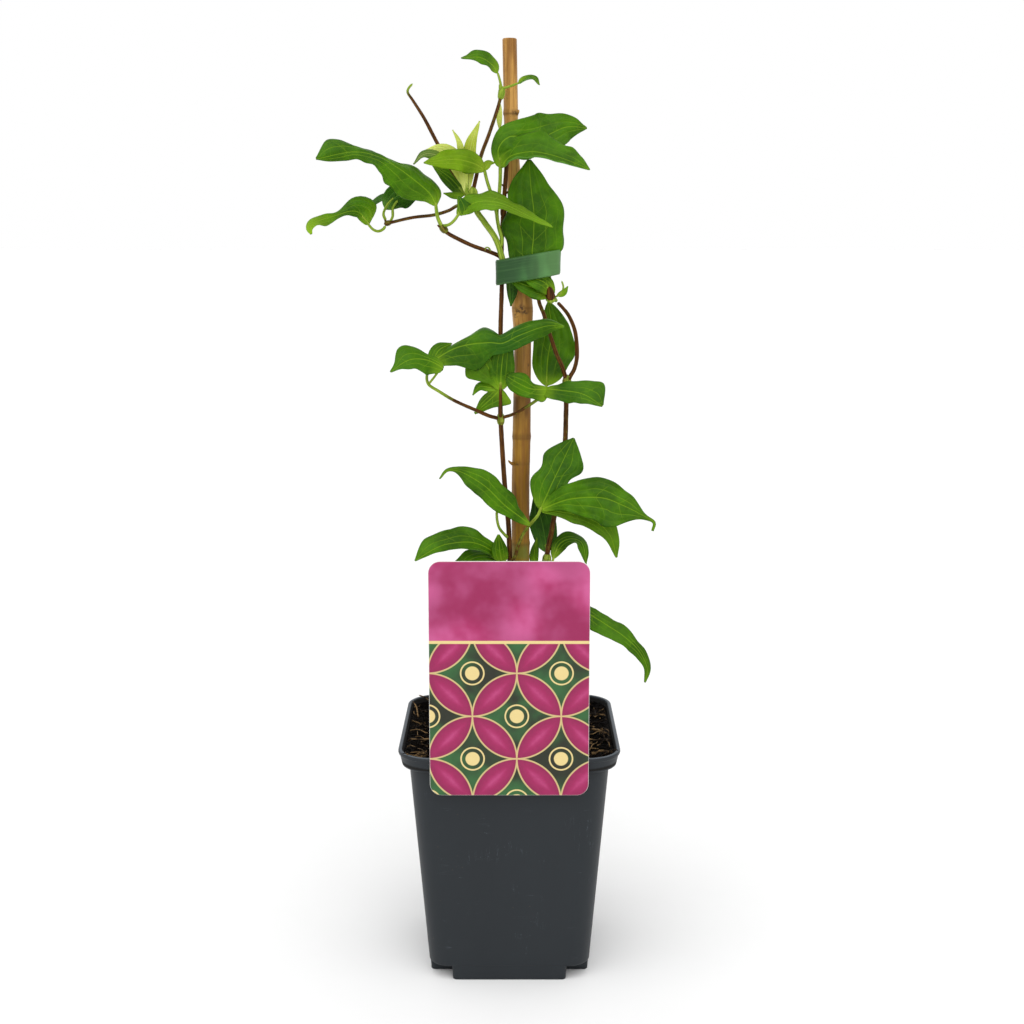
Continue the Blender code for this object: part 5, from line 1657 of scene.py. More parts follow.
@dataclass
class Soil:
    """The potting mix: a lumpy bed, loose crumbs, shreds of bark and a few roots over the rim.

    Wall gives height, half width and corner radius where the bed meets the pot, from below. Each of the
    bed's kinds of lumps has a size, a share of the bump and a shift.
    """

    node: str = "soil"
    slot: str = "potting_mix"
    mix: PottingMix = field(default_factory=PottingMix)
    fibre: PlantFibre = field(default_factory=PlantFibre)
    top: float = 91.5
    bump: float = 2.4
    bank: float = 5.8
    bank_start: float = 25
    bottom: float = 8
    half: float = 42.8
    wall: Sequence[Point] = (
        (93.3, 39.1, 9.6), (94.3, 39.5, 9.7), (95.3, 41.4, 11), (95.8, 42.3, 11.5), (97.5, 42.85, 11.85),
    )
    rings: int = 64
    crumb: float = 0.75
    crumbs_per_mm2: float = 0.42
    lumps_per_mm2: float = 0.06
    shreds_per_mm2: float = 0.05
    shred_length: float = 11
    shred_radius: float = 0.27
    corner_sum: float = 77
    lumps: Sequence[Point] = ((17, 0.7, 0), (6, 0.45, 20))

    def bed_height(self, x: float, y: float) -> float:
        """Height of the bed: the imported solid's lumps with finer ones on them, banked up at the wall.

        Args:
            x: place across.
            y: place in depth.

        Returns:
            The height there.
        """
        lumps = sum(share * noise.noise(Vector((x, y, lift)) / size) for size, share, lift in self.lumps)
        fine = noise.fractal(Vector((x, y, 3)) / 3.2, 0.9, 2.2, 4)
        share = min(1, max(0, (max(abs(x), abs(y)) - self.bank_start) / (self.half - self.bank_start)))
        banked = self.bank * share * share * (3 - 2 * share)
        return self.top + banked + self.bump * lumps * (1 - 0.5 * share) + 0.75 * fine

    def bed(self, pot: Pot) -> Mesh:
        """The bed as one closed mesh, from the pot's floor to its lumpy top.

        Args:
            pot: the pot that holds it.

        Returns:
            The mesh.
        """
        half, radius = pot.body(self.bottom, pot.wall + 0.3)
        levels = ((self.bottom, half, radius), *self.wall)
        rows = []
        for height, half, radius in levels:
            ring = rounded_ring(half, half, radius, height)
            between = (ring + np.roll(ring, -1, axis=0)) / 2
            rows.append(np.stack([ring, between], axis=1).reshape(-1, 3))
        outline = rows[-1]
        for share in np.linspace(1, 0, self.rings, endpoint=False)[1:] ** 0.8:
            ring = outline * share
            ring[:, 2] = [self.bed_height(x, y) for x, y in ring[:, :2]]
            rows.append(ring)
        poles = np.array([(0, 0, self.bottom), (0, 0, self.bed_height(0, 0))])
        shape = Shape()
        shape.add_tube(np.stack(rows), poles)
        return shape.mesh("soil_bed")

    def top_mask(self, tree: Repeater, margin: float) -> Socket:
        """Where crumbs may lie: on faces that look up, clear of the wall.

        Args:
            tree: the tree that scatters them.
            margin: how far they stay from the wall.

        Returns:
            1 or 0 for each face.
        """
        size = tree.vector("ABSOLUTE", tree.add("GeometryNodeInputPosition").outputs[0])
        parts = tree.add("ShaderNodeSeparateXYZ", {0: size}).outputs
        far = tree.math("MAXIMUM", parts[0], parts[1])
        inside = tree.math("LESS_THAN", far, (self.half - margin) * MM)
        normal = tree.add("GeometryNodeInputNormal").outputs[0]
        facing = tree.add("ShaderNodeSeparateXYZ", {0: normal}).outputs[2]
        return tree.math("MULTIPLY", inside, tree.math("GREATER_THAN", facing, 0.2))

    def scatter(self, bed: Mesh, name: str, size: float, density: float, seed: int) -> Mesh:
        """Scatter angular crumbs over the bed.

        Args:
            bed: the bed's mesh.
            name: the tree's name.
            size: usual radius of a crumb.
            density: crumbs for each square millimetre.
            seed: fixes where they fall.

        Returns:
            All the crumbs as one mesh.
        """
        tree = Repeater(name, Radius=size * MM, Density=density / MM**2)
        coarse = {"Radius": tree.given["Radius"], "Subdivisions": 1}
        ball = tree.add("GeometryNodeMeshIcoSphere", coarse).outputs[0]
        spin = ((0, 0, 0), (FULL_TURN, FULL_TURN, FULL_TURN))
        stretch = ((0.35, 0.4, 0.3), (1.5, 1.2, 0.9))
        keep = self.top_mask(tree, 2.2 * size + 0.3)
        grains = tree.strew(ball, tree.given["Density"], keep, spin, stretch, seed)
        return tree.run(bed, grains, self.mix.material())

    def shreds(self, bed: Mesh, material: Material) -> Mesh:
        """Lay bent shreds of bark and straw on the bed, held inside the wall.

        Args:
            bed: the bed's mesh.
            material: the finish of the shreds.

        Returns:
            All the shreds as one mesh.
        """
        tree = Repeater(
            "bark_shreds",
            Length=self.shred_length * MM, Radius=self.shred_radius * MM, Density=self.shreds_per_mm2 / MM**2,
        )
        given = tree.given
        end = tree.add("ShaderNodeCombineXYZ", {0: given["Length"]}).outputs[0]
        start = tree.vector("MULTIPLY", end, (-1, 0, 0))
        rise = tree.math("MULTIPLY", given["Length"], 0.35)
        peak = tree.add("ShaderNodeCombineXYZ", {1: rise}).outputs[0]
        bow = {"Resolution": 9, "Start": start, "Middle": peak, "End": end}
        arc = tree.add("GeometryNodeCurveQuadraticBezier", bow).outputs[0]
        around = {"Resolution": 5, "Radius": given["Radius"]}
        ring = tree.add("GeometryNodeCurvePrimitiveCircle", around).outputs[0]
        swept = {"Curve": arc, "Profile Curve": ring, "Fill Caps": True}
        strand = tree.add("GeometryNodeCurveToMesh", swept).outputs[0]
        spin = ((-0.3, -0.22, 0), (1.2, 0.22, FULL_TURN))
        size = ((0.2, 0.1, 0.5), (0.95, 0.9, 1.5))
        laid = tree.strew(strand, given["Density"], self.top_mask(tree, 1.5), spin, size, 11)
        real = tree.add("GeometryNodeRealizeInstances", {0: laid}).outputs[0]
        place = tree.add("GeometryNodeInputPosition").outputs[0]
        wavy = {"Vector": place, "Scale": 0.16 / MM, "Detail": 1}
        wander = tree.add("ShaderNodeTexNoise", wavy).outputs["Color"]
        step = (5 * MM, 5 * MM, 5 * MM)
        shift = tree.vector("MULTIPLY", tree.vector("SUBTRACT", wander, (0.5, 0.5, 0.42)), step)
        reach = (self.half - 0.6) * MM
        held = tree.vector("MINIMUM", tree.vector("ADD", place, shift), (reach, reach, (self.top + 8.6) * MM))
        held = tree.vector("MAXIMUM", held, (-reach, -reach, (self.top - 4) * MM))
        # The rounded corners hold them too
        size = tree.add("ShaderNodeSeparateXYZ", {0: tree.vector("ABSOLUTE", held)}).outputs
        total = tree.math("ADD", size[0], size[1])
        squeeze = tree.math("MINIMUM", tree.math("DIVIDE", self.corner_sum * MM, total), 1)
        scale = tree.add("ShaderNodeCombineXYZ", {0: squeeze, 1: squeeze, 2: 1}).outputs[0]
        held = tree.vector("MULTIPLY", held, scale)
        bent = tree.add("GeometryNodeSetPosition", {"Geometry": real, "Position": held}).outputs[0]
        return tree.run(bed, bent, material)

    def build(self, pot: Pot) -> None:
        """Build the bed and what lies on it, and dress them.

        Args:
            pot: the pot that holds the soil.
        """
        bed = self.bed(pot)
        crumbs = self.scatter(bed, "fine_crumbs", self.crumb, self.crumbs_per_mm2, 2)
        lumps = self.scatter(bed, "coarse_lumps", self.crumb * 2.3, self.lumps_per_mm2, 8)
        fibre = self.fibre.material()
        straw = self.shreds(bed, fibre)
        peat = self.mix.material()
        for name, mesh in (("soil_bed", bed), ("soil_crumbs", crumbs), ("soil_lumps", lumps)):
            place_piece(name, mesh, peat, self.slot, self.node)
        place_piece("soil_shreds", straw, fibre, self.slot, self.node)
        roots = Shape()
        for number, (route, radii) in enumerate(ROOTS):
            Stalk(route, radii, sides=8, step=0.6).build(roots, 70 + number)
        place_piece("soil_roots", roots, fibre, self.slot, self.node)


@dataclass
class Studio:
    """A white paper floor, soft light from all round and above, and the photograph's point of view."""

    lens: float = 55.4
    place: Point = (1.1, -643.7, 305.3)
    pitch: float = 10.02
    reach: float = 30
    horizon: float = 1
    zenith: float = 0.6
    sun: float = 1.7
    sun_spread: float = 70
    sun_from: Point = (-0.08, -0.6, 1)
    front: float = 2.5

    def lamp(self, name: str, kind: str, place: Point, aim: Point, **settings: float) -> None:
        """A lamp that faces a place.

        Args:
            name: its name.
            kind: Blender's name for the type of lamp.
            place: where it stands, in metres.
            aim: what it faces, in metres.
            settings: its strength and size.
        """
        data = bpy.data.lights.new(name, kind)
        for key, value in settings.items():
            setattr(data, key, value)
        lamp = add_object(name, data)
        lamp.location = place
        lamp.rotation_euler = (Vector(aim) - Vector(place)).to_track_quat("-Z", "Y").to_euler()

    def build(self) -> None:
        """Build the floor, the lights and the camera."""
        scene = bpy.context.scene
        mesh = bpy.data.meshes.new("studio_floor")
        side = self.reach
        corners = [(-side, -side, 0), (side, -side, 0), (side, side, 0), (-side, side, 0)]
        mesh.from_pydata(corners, [], [(0, 1, 2, 3)])
        mesh.materials.append(StudioPaper().material())
        floor = add_object("studio_floor", mesh)
        self.sky()
        scene.view_settings.view_transform = "Standard"
        spread = math.radians(self.sun_spread)
        self.lamp("soft_sun", "SUN", self.sun_from, (0, 0, 0), energy=self.sun, angle=spread)
        self.lamp("front", "AREA", (0.2, -1.3, 0.7), (0, 0, 0.2), energy=self.front, size=0.8)
        data = bpy.data.cameras.new("camera")
        data.sensor_width = 36
        data.lens = self.lens
        data.clip_start = 0.01
        data.clip_end = 100
        camera = add_object("camera", data)
        camera.location = Vector(self.place) * MM
        camera.rotation_euler = (math.radians(90 - self.pitch), 0, 0)
        scene.camera = camera

    def sky(self) -> None:
        """White all round at the horizon, a little darker overhead so that the light has a direction."""
        world = bpy.data.worlds.new("soft_white")
        world.use_nodes = True
        world.node_tree.nodes.clear()
        tree = NodeSheet(world.node_tree)
        ray = tree.add("ShaderNodeTexCoord").outputs["Generated"]
        height = tree.add("ShaderNodeSeparateXYZ", {0: ray})
        ends = {0: height.outputs[2], 1: 0.25, 2: 1, 3: self.horizon, 4: self.zenith}
        strength = tree.add("ShaderNodeMapRange", ends).outputs[0]
        sky = tree.add("ShaderNodeBackground", {0: srgb("#ffffff"), 1: strength})
        tree.add("ShaderNodeOutputWorld", {0: sky.outputs[0]})
        bpy.context.scene.world = world


# Roots and straws that hang over the rim
ROOTS = (
    (((-34, -30, 93), (-38, -36, 96.5), (-41, -40.5, 100.6), (-42.5, -43, 101.6)), (0.35, 0.3, 0.2)),
    (((-36, 12, 93), (-39.5, 18, 96.5), (-41, 24, 100.3), (-43, 26.5, 102.4)), (0.4, 0.35, 0.2)),
    (((-30, 30, 93), (-33, 33, 97), (-37, 34.5, 101), (-40.5, 33, 103)), (0.45, 0.4, 0.25)),
    (((36, -24, 93), (39, -30, 97), (42, -35.5, 100.6), (43.8, -38, 101.2)), (0.35, 0.3, 0.2)),
    (((30, 22, 93), (33, 27, 96.5), (35, 33, 97.5), (33, 37, 96)), (0.5, 0.45, 0.3)),
)

# Stems: routes from the root upwards
STEM_LEFT = (
    (1.5, -7, 62), (1.5, -7, 95), (1, -7, 147.5), (0, -7, 179), (-0.5, -7.5, 189.5), (-2, -8, 206),
    (-3.5, -8, 231), (-3.5, -6.8, 245), (-3.5, -6.5, 267), (-3, -6.5, 285), (-3, -5.5, 301.5),
    (-2.4, -5, 313.5), (-1, -5, 333),
)
BRANCH_LEFT = (
    (-3, -6.2, 295.4), (-4.6, -7.2, 296.8), (-9, -9.5, 298.6), (-15.5, -12, 301), (-23.5, -14, 305),
    (-25.9, -14.8, 307.1),
)
STEM_RIGHT = (
    (13, 2.5, 62), (13, 2.5, 95), (13.5, 2, 136.5), (15.5, 1, 170.5), (17.5, 0, 183), (19, 0, 192),
    (21.5, 1, 207), (23, 2, 220), (23.3, 1.6, 232), (23.5, 0, 246),
)
ARC_OUTER = (
    (23.5, 0, 245.5), (25, 0.5, 248), (26.6, 1.2, 250.8), (27.6, 2, 255), (27.6, 2, 260), (27, 1, 265),
    (25.8, 0, 269), (23.8, -1.5, 273), (21.4, -3.2, 276), (19.4, -4.7, 278),
)
ARC_INNER = (
    (23.5, 0, 245.5), (21.5, -1.5, 252), (19, -2.8, 257.5), (16, -4.2, 266.5), (14, -5.2, 273),
    (12.2, -6, 277.5), (11.6, -6.5, 280.5),
)
SHOOT_GREEN = (
    (-1.5, -8.9, 290), (-3, -9.4, 296.5), (-5.5, -10.5, 303.5), (-10, -11, 310), (-13, -11.5, 314.5),
    (-14.3, -12, 321),
)
THIN_RIGHT = (
    (-14.2, -12, 321.7), (-13, -11.5, 327), (-11, -10.5, 335.5), (-8, -9, 343.5), (-4.6, -7, 353.5),
    (-3, -6, 359.6),
)
THIN_LEFT = (
    (-16.3, -11.3, 321.6), (-18.5, -8, 325), (-23, -5.6, 330.5), (-29, -4, 341.5), (-33.5, -4, 350),
    (-38, -3, 357), (-40, -3, 360), (-39.6, -3, 361.8), (-38, -3, 363.5),
)
PETIOLE_FAR_LEFT = (
    (-15.4, -11.4, 315.6), (-20, -11, 316.2), (-24, -10.5, 314.2), (-30, -10, 312.5), (-38.5, -9.5, 311.5),
    (-48.2, -9.4, 309.3),
)


def swelling(low: Point, middle: Point, high: Point, radius: float, green: float = 0.6) -> Stalk:
    """A node: a short swollen stretch of stem with a ring round it."""
    radii = (0.62 * radius, 0.9 * radius, radius, 0.94 * radius, 0.6 * radius)
    return Stalk((low, middle, high), radii, (green, green), 0.09)


def bud(base: Point, tip: Point, radius: float, green: float = 0.15) -> Stalk:
    """A pointed bud."""
    radii = (0.7 * radius, radius, 0.8 * radius, 0.25 * radius)
    return Stalk((base, tip), radii, (green, green), 0.04, 14, 0.3)


STEMS = (
    Stem("stem_left", (
        Stalk(STEM_LEFT, (1.15, 0.8), (0.1, 0.1)),
        Stalk(BRANCH_LEFT, (0.8, 0.75), (0.1, 0.25)),
        swelling((0.35, -7, 165.6), (0.2, -7.1, 169.2), (0.1, -7, 173), 1.7, 0.5),
        swelling((-3.4, -8, 228.4), (-3.5, -8.2, 231.2), (-3.5, -8.1, 234), 1.5, 0.5),
        swelling((-2.4, -5, 311.5), (-2.3, -5.1, 314), (-2, -5, 316.5), 1.2, 0.3),
        swelling((-24.2, -14.2, 305.6), (-25.9, -14.8, 307.3), (-26.8, -15.2, 309), 1.35, 0.45),
        bud((-26.4, -14.9, 307.6), (-28.3, -15.2, 308.6), 0.62, 0),
        bud((-1.7, -5.1, 323.6), (-3.3, -5.6, 324.7), 0.42, 0.1),
        bud((-1.4, -5.1, 320.9), (0.4, -5.6, 322.2), 0.45, 0.1),
        bud((-1.1, -5, 331.8), (-0.7, -5.2, 334.2), 0.7, 0.3),
        Stalk([(-7.2, -9, 298), (-8, -10.2, 299.6), (-9.2, -10.8, 299.9), (-9.6, -10.5, 298.6)], (0.35, 0.25),
            (0.5, 0.7)),
    )),
    Stem("stem_right", (
        Stalk(STEM_RIGHT, (1.1, 0.95), (0.2, 0.25)),
        Stalk(ARC_OUTER, (0.85, 0.75), (0.2, 0.1, 0.3)),
        Stalk(ARC_INNER, (0.85, 0.7), (0.15, 0.35)),
        swelling((14, 1.7, 145.8), (14.2, 1.6, 149.4), (14.5, 1.5, 153), 1.6, 0.4),
        swelling((15.2, 1.2, 166.8), (15.5, 1, 170.6), (16, 0.8, 174.2), 1.75, 0.6),
        swelling((23.35, 1.2, 241.4), (23.5, 0.2, 245.4), (23.7, 0, 248.6), 1.7, 0.55),
        bud((24.2, -0.4, 246.4), (25.6, -1.6, 248.2), 0.6, 0.3),
    )),
    Stem("shoot_green", (
        Stalk(SHOOT_GREEN, (1.1, 1.1), (0.85, 0.9)),
        swelling((-13.4, -11.7, 316.8), (-14.3, -12, 320.4), (-14.6, -12.1, 323.6), 1.9, 0.75),
        bud((-15, -12.4, 321.4), (-16.2, -13, 323.2), 0.6, 0.9),
    ), "green_stalk"),
    Stem("shoot_thin_right", (
        Stalk(THIN_RIGHT, (0.78, 0.65), (0.25, 0.3)),
        swelling((-3.6, -6.3, 356.8), (-3, -6, 359.6), (-2.9, -6, 362), 1.35, 0.85),
        bud((-3.2, -6.4, 360.6), (-3.7, -6.8, 363.2), 0.75, 0.95),
    )),
    Stem("shoot_thin_left", (Stalk(THIN_LEFT, (0.8, 0.75, 0.7, 0.6, 0.4), (0.1, 0, 0, 0, 0, 0, 0.2, 1)),)),
    Stem("petiole_far_left", (
        Stalk(PETIOLE_FAR_LEFT, (0.62, 0.58), (0.35, 0.25)),
        swelling((-46.6, -9.4, 309.7), (-48.4, -9.4, 309.3), (-49.6, -9.5, 309), 1.05, 0.4),
        bud((-48.6, -9.2, 309.6), (-49.4, -9.2, 310.8), 0.5, 0),
    )),
    Stem("stalk_low_curled", (
        Stalk([(-0.4, -7.2, 182.2), (-1.35, -8.1, 183), (-4, -9.8, 186.5), (-5, -10.6, 190.5),
            (-4.9, -10.8, 194), (-3, -10.6, 195.2)], (0.58, 0.5), (0.9, 1)),
    ), "green_stalk"),
)


LEAVES = (
    # Above the tie
    LeafSpray("leaf_tip_pair", [
        Stalk([(-3, -6, 360), (-2.9, -6, 361.4), (-2.9, -6.1, 362.4)], (0.9, 0.7)),
        Stalk([(-3, -6.1, 361.4), (-3.7, -6.8, 364.5), (-4.6, -7.8, 367.5)], (0.5, 0.4)),
        Stalk([(-2.9, -6.1, 361.2), (0.5, -6.7, 362.2), (4, -7.2, 363.4)], (0.5, 0.4)),
        Blade([(-4.4, -7.6, 367), (-7, -9.8, 370.2), (-11.5, -12.6, 372.3), (-18.5, -16, 371.8)], 2.8, 4.2,
            HALF_UP, turn=(-20, 0), wave=0.3),
        Blade([(3.4, -7.2, 363.2), (6.5, -7.4, 364.8), (9.5, -8.2, 364.9), (11.8, -10, 362.3)], 2.2, 2.2,
            (0, -0.35, 0.94), fold=(25, 25)),
    ]),
    LeafSpray("leaf_narrow_by_cane", [
        Blade([(-3.9, -5.2, 356.4), (-3.9, -4.7, 350), (-3.6, -4.4, 344.5)], 1.2, 1.2),
    ], LeafAgeAndShade.YOUNG),
    LeafSpray("leaf_pair_top_right", [
        Stalk([(-3.6, -9.8, 299.6), (-2.9, -10.3, 303), (-4.2, -10.3, 308), (-4.9, -9.8, 313.5),
            (-4.1, -9.4, 319.5), (-3.6, -9, 325.5), (-3.5, -9.2, 331.5), (-3.6, -9.6, 335)], (0.75, 0.7)),
        Blade([(-3.6, -9.2, 331), (-4.2, -9.9, 338), (0, -9.2, 342.6), (7, -7.2, 342.6), (14, -4.8, 343.2),
            (22.5, -2, 346.8), (31, 1, 346.8)], (1.5, 3.3, 6, 9.4, 9, 5.4, 0.4), (1.5, 5, 8, 8.5, 7, 5, 0.4),
            (0, -0.95, 0.3), wave=0.6),
        Blade([(-3.3, -9.6, 331), (0.5, -12, 335), (8, -15, 336.6), (15, -17.5, 335.6), (23, -20.5, 333),
            (31, -24, 329.4)], (2, 8, 8.6, 8.2, 6.4, 4.2, 0.4), (2, 6, 7, 7, 6, 4, 0.4), (0, -0.85, 0.5),
            fold=(0, 45), wave=0.5),
    ]),
    LeafSpray("leaf_lime", [
        Stalk([(-4.8, -10.2, 312), (-5.3, -11.7, 314.5), (-6.8, -11.9, 320), (-8.5, -12.8, 325),
            (-9.7, -14.2, 329.8)], (0.65, 0.6)),
        Blade([(-9.4, -14.2, 329.5), (-13, -16.5, 331.8), (-21, -18.8, 333.6), (-33, -21.4, 332.2)], 4.8, 4.6,
            (0, -0.95, 0.3), wave=0.4),
        Blade([(-9.7, -14.2, 329.5), (-8, -13.2, 331.8), (-5.6, -12.6, 332.6)], 2, 2, HALF_UP, fold=(30, 30)),
    ], LeafAgeAndShade.LIME),
    LeafSpray("leaves_young_pale", [
        Stalk([(-15.2, -12.4, 319.4), (-16.6, -13.2, 321), (-16.6, -13.2, 323), (-16.6, -13.2, 325.5)],
            (0.8, 0.6)),
        Blade([(-16.4, -13, 321), (-16, -12.9, 330), (-14.8, -13, 339.5), (-11.5, -12.8, 348.5)], 2.9, 2.7,
            fold=(15, 15)),
        Blade([(-17.2, -13.2, 321), (-18.4, -14, 333.5), (-19.4, -14.6, 340), (-22, -15.2, 345)], 2.1, 2.1,
            fold=(30, 30)),
        Blade([(-16.8, -12.9, 323), (-20, -11.7, 331.5), (-26, -11.2, 337.4), (-32.4, -12.6, 337.6)], 3.2,
            3.8, wave=0.4, tint_and_shade=(0, 0.3)),
        Blade([(-21, -13, 332), (-27, -14.4, 335), (-33, -16, 335.6), (-37.2, -17.8, 331.8)], 2.2, 2.6,
            (0, -0.7, 0.7), wave=0.6, tint_and_shade=(-0.7, -1)),
    ], LeafAgeAndShade.YOUNG),
    LeafSpray("leaf_young_back", [
        Stalk([(-14.6, -11.6, 319.6), (-15.9, -10.2, 319.5), (-17.5, -8.4, 321), (-20, -5, 323.5)]),
        Blade([(-17, -8.9, 320.3), (-20, -5, 323.5), (-24, -2.8, 327.5), (-30.5, -1.5, 332)], 3.6, 3.4,
            wave=0.4),
        Blade([(-17.5, -8.4, 320.8), (-21, -8.6, 320), (-26, -8.6, 321)], 1.4, 1.4),
    ]),
    LeafSpray("leaf_pair_upper_left", [
        Stalk([(-26.5, -15.2, 308), (-28, -15.8, 311.5), (-28.5, -16, 314.5), (-28.8, -16.3, 317.5)],
            (0.75, 0.6)),
        Stalk([(-26.5, -15.2, 308.2), (-23.5, -15.8, 308.8), (-21, -16.4, 311), (-18.5, -16.8, 315)]),
        Blade([(-28.4, -16, 315.8), (-31, -17, 320.6), (-36.5, -18.6, 325.4), (-42.5, -20.4, 329.8),
            (-50, -23.2, 334.2), (-60, -26.4, 336), (-73.5, -30, 333.3)],
            (1, 4.8, 7.4, 8.6, 8.2, 6.6, 4.4, 3, 3.2, 2.6, 0.4),
            (1, 8.5, 9.5, 10.4, 6.8, 8.6, 7.6, 6.2, 7, 6.4, 0.5), (0, -0.6, 0.8),
            turn=(-30, -28, -21, 0, -17, -60, -64), fold=(-25, -40), wave=0.5, waves=3, tint_and_shade=(0.1, -0.2)),
        Blade([(-20.5, -16.4, 312.6), (-15, -17.2, 316.4), (-8.5, -18, 317.6), (-1, -18.4, 316),
            (6.5, -18.6, 312.4), (17, -18.8, 307.8)], (1.2, 4.6, 5.4, 4.7, 3.8, 2.2, 0.4),
            (1, 4, 5, 4, 2.5, 1.5, 0.4), (0, -0.6, 0.8), turn=(50, 10, 0, 0, 0), wave=0.3, tint_and_shade=(0.2, 0.5)),
        Blade([(-18.6, -16.6, 312), (-19.6, -17.6, 315.5), (-20, -17.9, 319.8)], (0.3, 0.5, 0.4),
            (0.5, 4.4, 4.8, 3, 0.4), tint_and_shade=(-0.6, -1)),
    ]),
    LeafSpray("leaf_far_left", [
        Stalk([(-48.9, -9.8, 308.5), (-49.9, -9.9, 307), (-52, -10.2, 306.2), (-54.2, -10.6, 307.2),
            (-56.6, -11, 310.2), (-58.4, -11.8, 312.4)]),
        Blade([(-55.4, -10.9, 308.8), (-58.8, -12, 313.2), (-62.6, -13.4, 313.8), (-67.2, -15.6, 312.4),
            (-71.8, -18.4, 311), (-75.6, -21, 309.6), (-77.2, -23, 307.2), (-76.6, -24, 305)],
            (1.5, 2.4, 2.8, 2, 2, 3, 3.4, 1.8, 0.4), (1.5, 8.4, 6.4, 3, 2, 2.2, 2.6, 2.2, 0.4),
            (0, -0.85, 0.5), fold=(10, -10), wave=0.3, tint_and_shade=(-0.1, -0.1, 0.3, 1)),
    ]),
    LeafSpray("leaf_pair_dark", [
        Stalk([(-48.8, -8.5, 310.2), (-49.9, -7.4, 313), (-48.5, -5, 316.5), (-46, -3, 319.5)], (0.55, 0.5)),
        Stalk([(-47.4, -9, 309.6), (-46.2, -8.4, 312), (-46.2, -6, 315.5), (-44.4, -4, 318.4)], (0.55, 0.5)),
        Blade([(-49.2, -6.2, 314.8), (-45.5, -3, 319.5), (-38, 0.5, 324), (-31, 3, 325)], 5, 6, wave=0.5),
        Blade([(-46.8, -3.6, 318), (-50, -1.6, 319.6), (-56.5, 1, 316.6)], 2.5, 2.5, HALF_UP),
    ], LeafAgeAndShade.SHADED),
    # The leaf that the tape holds and its small neighbours
    LeafSpray("leaf_held_by_tie", [
        Stalk([(19, -5.3, 278.5), (18.2, -7.2, 279.6), (16.8, -9.4, 281.5), (14.5, -10.4, 285)], (0.75, 0.6)),
        Blade([(16.8, -9.6, 281.5), (12.8, -10.4, 288), (9.3, -10.6, 296), (9.6, -10.2, 304),
            (9.8, -9.8, 313), (8.6, -9.2, 323), (7.8, -8.6, 334)], (1.5, 4.5, 9, 12, 12.2, 10.6, 7.4, 0.8),
            (1.5, 4.5, 9, 12.4, 12.8, 10.2, 6.4, 0.8), fold=(-14, -14), wave=0.4, waves=1.5),
        Blade([(18.2, -9.4, 281.9), (13, -10.8, 286.6), (4.4, -10.6, 288.6)], 4.6, 3.4, (0, -0.9, 0.4)),
        Blade([(17, -8.8, 281.2), (9.8, -9.8, 283.8), (0.5, -9.6, 287)], 4.4, 3.6, (0, -0.9, 0.4)),
        Stalk([(16.8, -8.4, 277.8), (16.6, -9.2, 279.8), (16.4, -9.6, 281)], (1, 2, 1.9, 1.2), (0.95, 0.95)),
        Stalk([(16.6, -9.2, 278.6), (16.3, -10.3, 281.6), (15.9, -10.4, 284.6)], (0.9, 1.7, 1.75, 1.3, 0.6),
            (0, 0.05)),
        Stalk([(17.8, -7.8, 280.2), (20.2, -8.6, 281.3), (21.6, -8.8, 284), (20.9, -8.4, 286.8)],
            (0.4, 0.35)),
        Blade([(19, -8.3, 280.9), (21.6, -9, 282), (23.4, -9.2, 284.6)], 1.3, 1.3),
    ]),
    LeafSpray("leaf_dark_at_tie", [
        Blade([(-0.4, -5.9, 289.5), (0.2, -6, 284), (0.6, -5.8, 276.5)], 3.2, 1.4),
    ], LeafAgeAndShade.SHADED),
    # At the middle node
    LeafSpray("leaf_group_middle_left", [
        Stalk([(-3.8, -8.3, 231.3), (-5.4, -8.9, 231.9), (-8.2, -10.9, 232.9), (-13.5, -12.6, 235.4),
            (-21.5, -14.5, 239.2), (-28, -15.6, 243.2), (-32.3, -16, 246.3), (-32.6, -15.4, 250.5),
            (-30, -14.2, 255)], (0.75, 0.5), (0, 0.1, 0.4, 1, 1)),
        Stalk([(-32.2, -16, 246.2), (-30.2, -17, 248.6), (-27.2, -18, 252.6)], (0.5, 0.45)),
        Blade([(-26, -17.8, 252.6), (-32.5, -20, 256), (-39.5, -23, 256.2), (-46.5, -27, 252)],
            (2.5, 4.8, 6.8, 5.3, 4.1, 1.8, 0.4), (2, 2.5, 2.8, 6.2, 6.6, 2.4, 0.4), (0, -0.85, 0.5), wave=0.6,
            tint_and_shade=(-0.3, -0.3)),
        Blade([(-30.5, -14.4, 255.2), (-23, -14, 259.6), (-16, -14.2, 261.8), (-8, -14.4, 262.6),
            (-2.5, -14.2, 262.4), (4, -13.4, 265.4), (14.5, -12.2, 269), (22, -11.2, 268.8)],
            (1, 3.6, 5.2, 6.4, 9, 5.6, 5.8, 5.4, 4.8, 3.4, 0.4), (2.5, 8, 10.2, 4.8, 4.4, 4.3, 0.4),
            (0, -0.9, 0.45), turn=(0, 0, 27, 27, 29, 37, 37), fold=(-55, -5), wave=0.4,
            tint_and_shade=(-0.1, -0.1, -0.2, -0.85, -0.85, -0.1, 0)),
        Blade([(-31.2, -14.8, 252), (-28.5, -12.5, 259), (-23, -9.5, 262)], 3, 3),
    ]),
    LeafSpray("leaf_pair_middle_right", [
        Stalk([(-3.2, -8.2, 231.6), (-1.6, -8.9, 232.3), (0.5, -9.6, 233), (4, -10, 234.6), (9.5, -9.6, 238),
            (13, -9, 240.6), (15.4, -9.2, 243.6)], (0.7, 0.6), (0.1, 0.4, 1)),
        Stalk([(13.6, -9, 241.2), (15, -4.5, 241.2), (15.2, 1.5, 242.8), (15.4, 5, 248)]),
        Blade([(14.6, -8.9, 243.6), (21, -12, 243.2), (29.5, -15, 242), (37.2, -18, 237.6)],
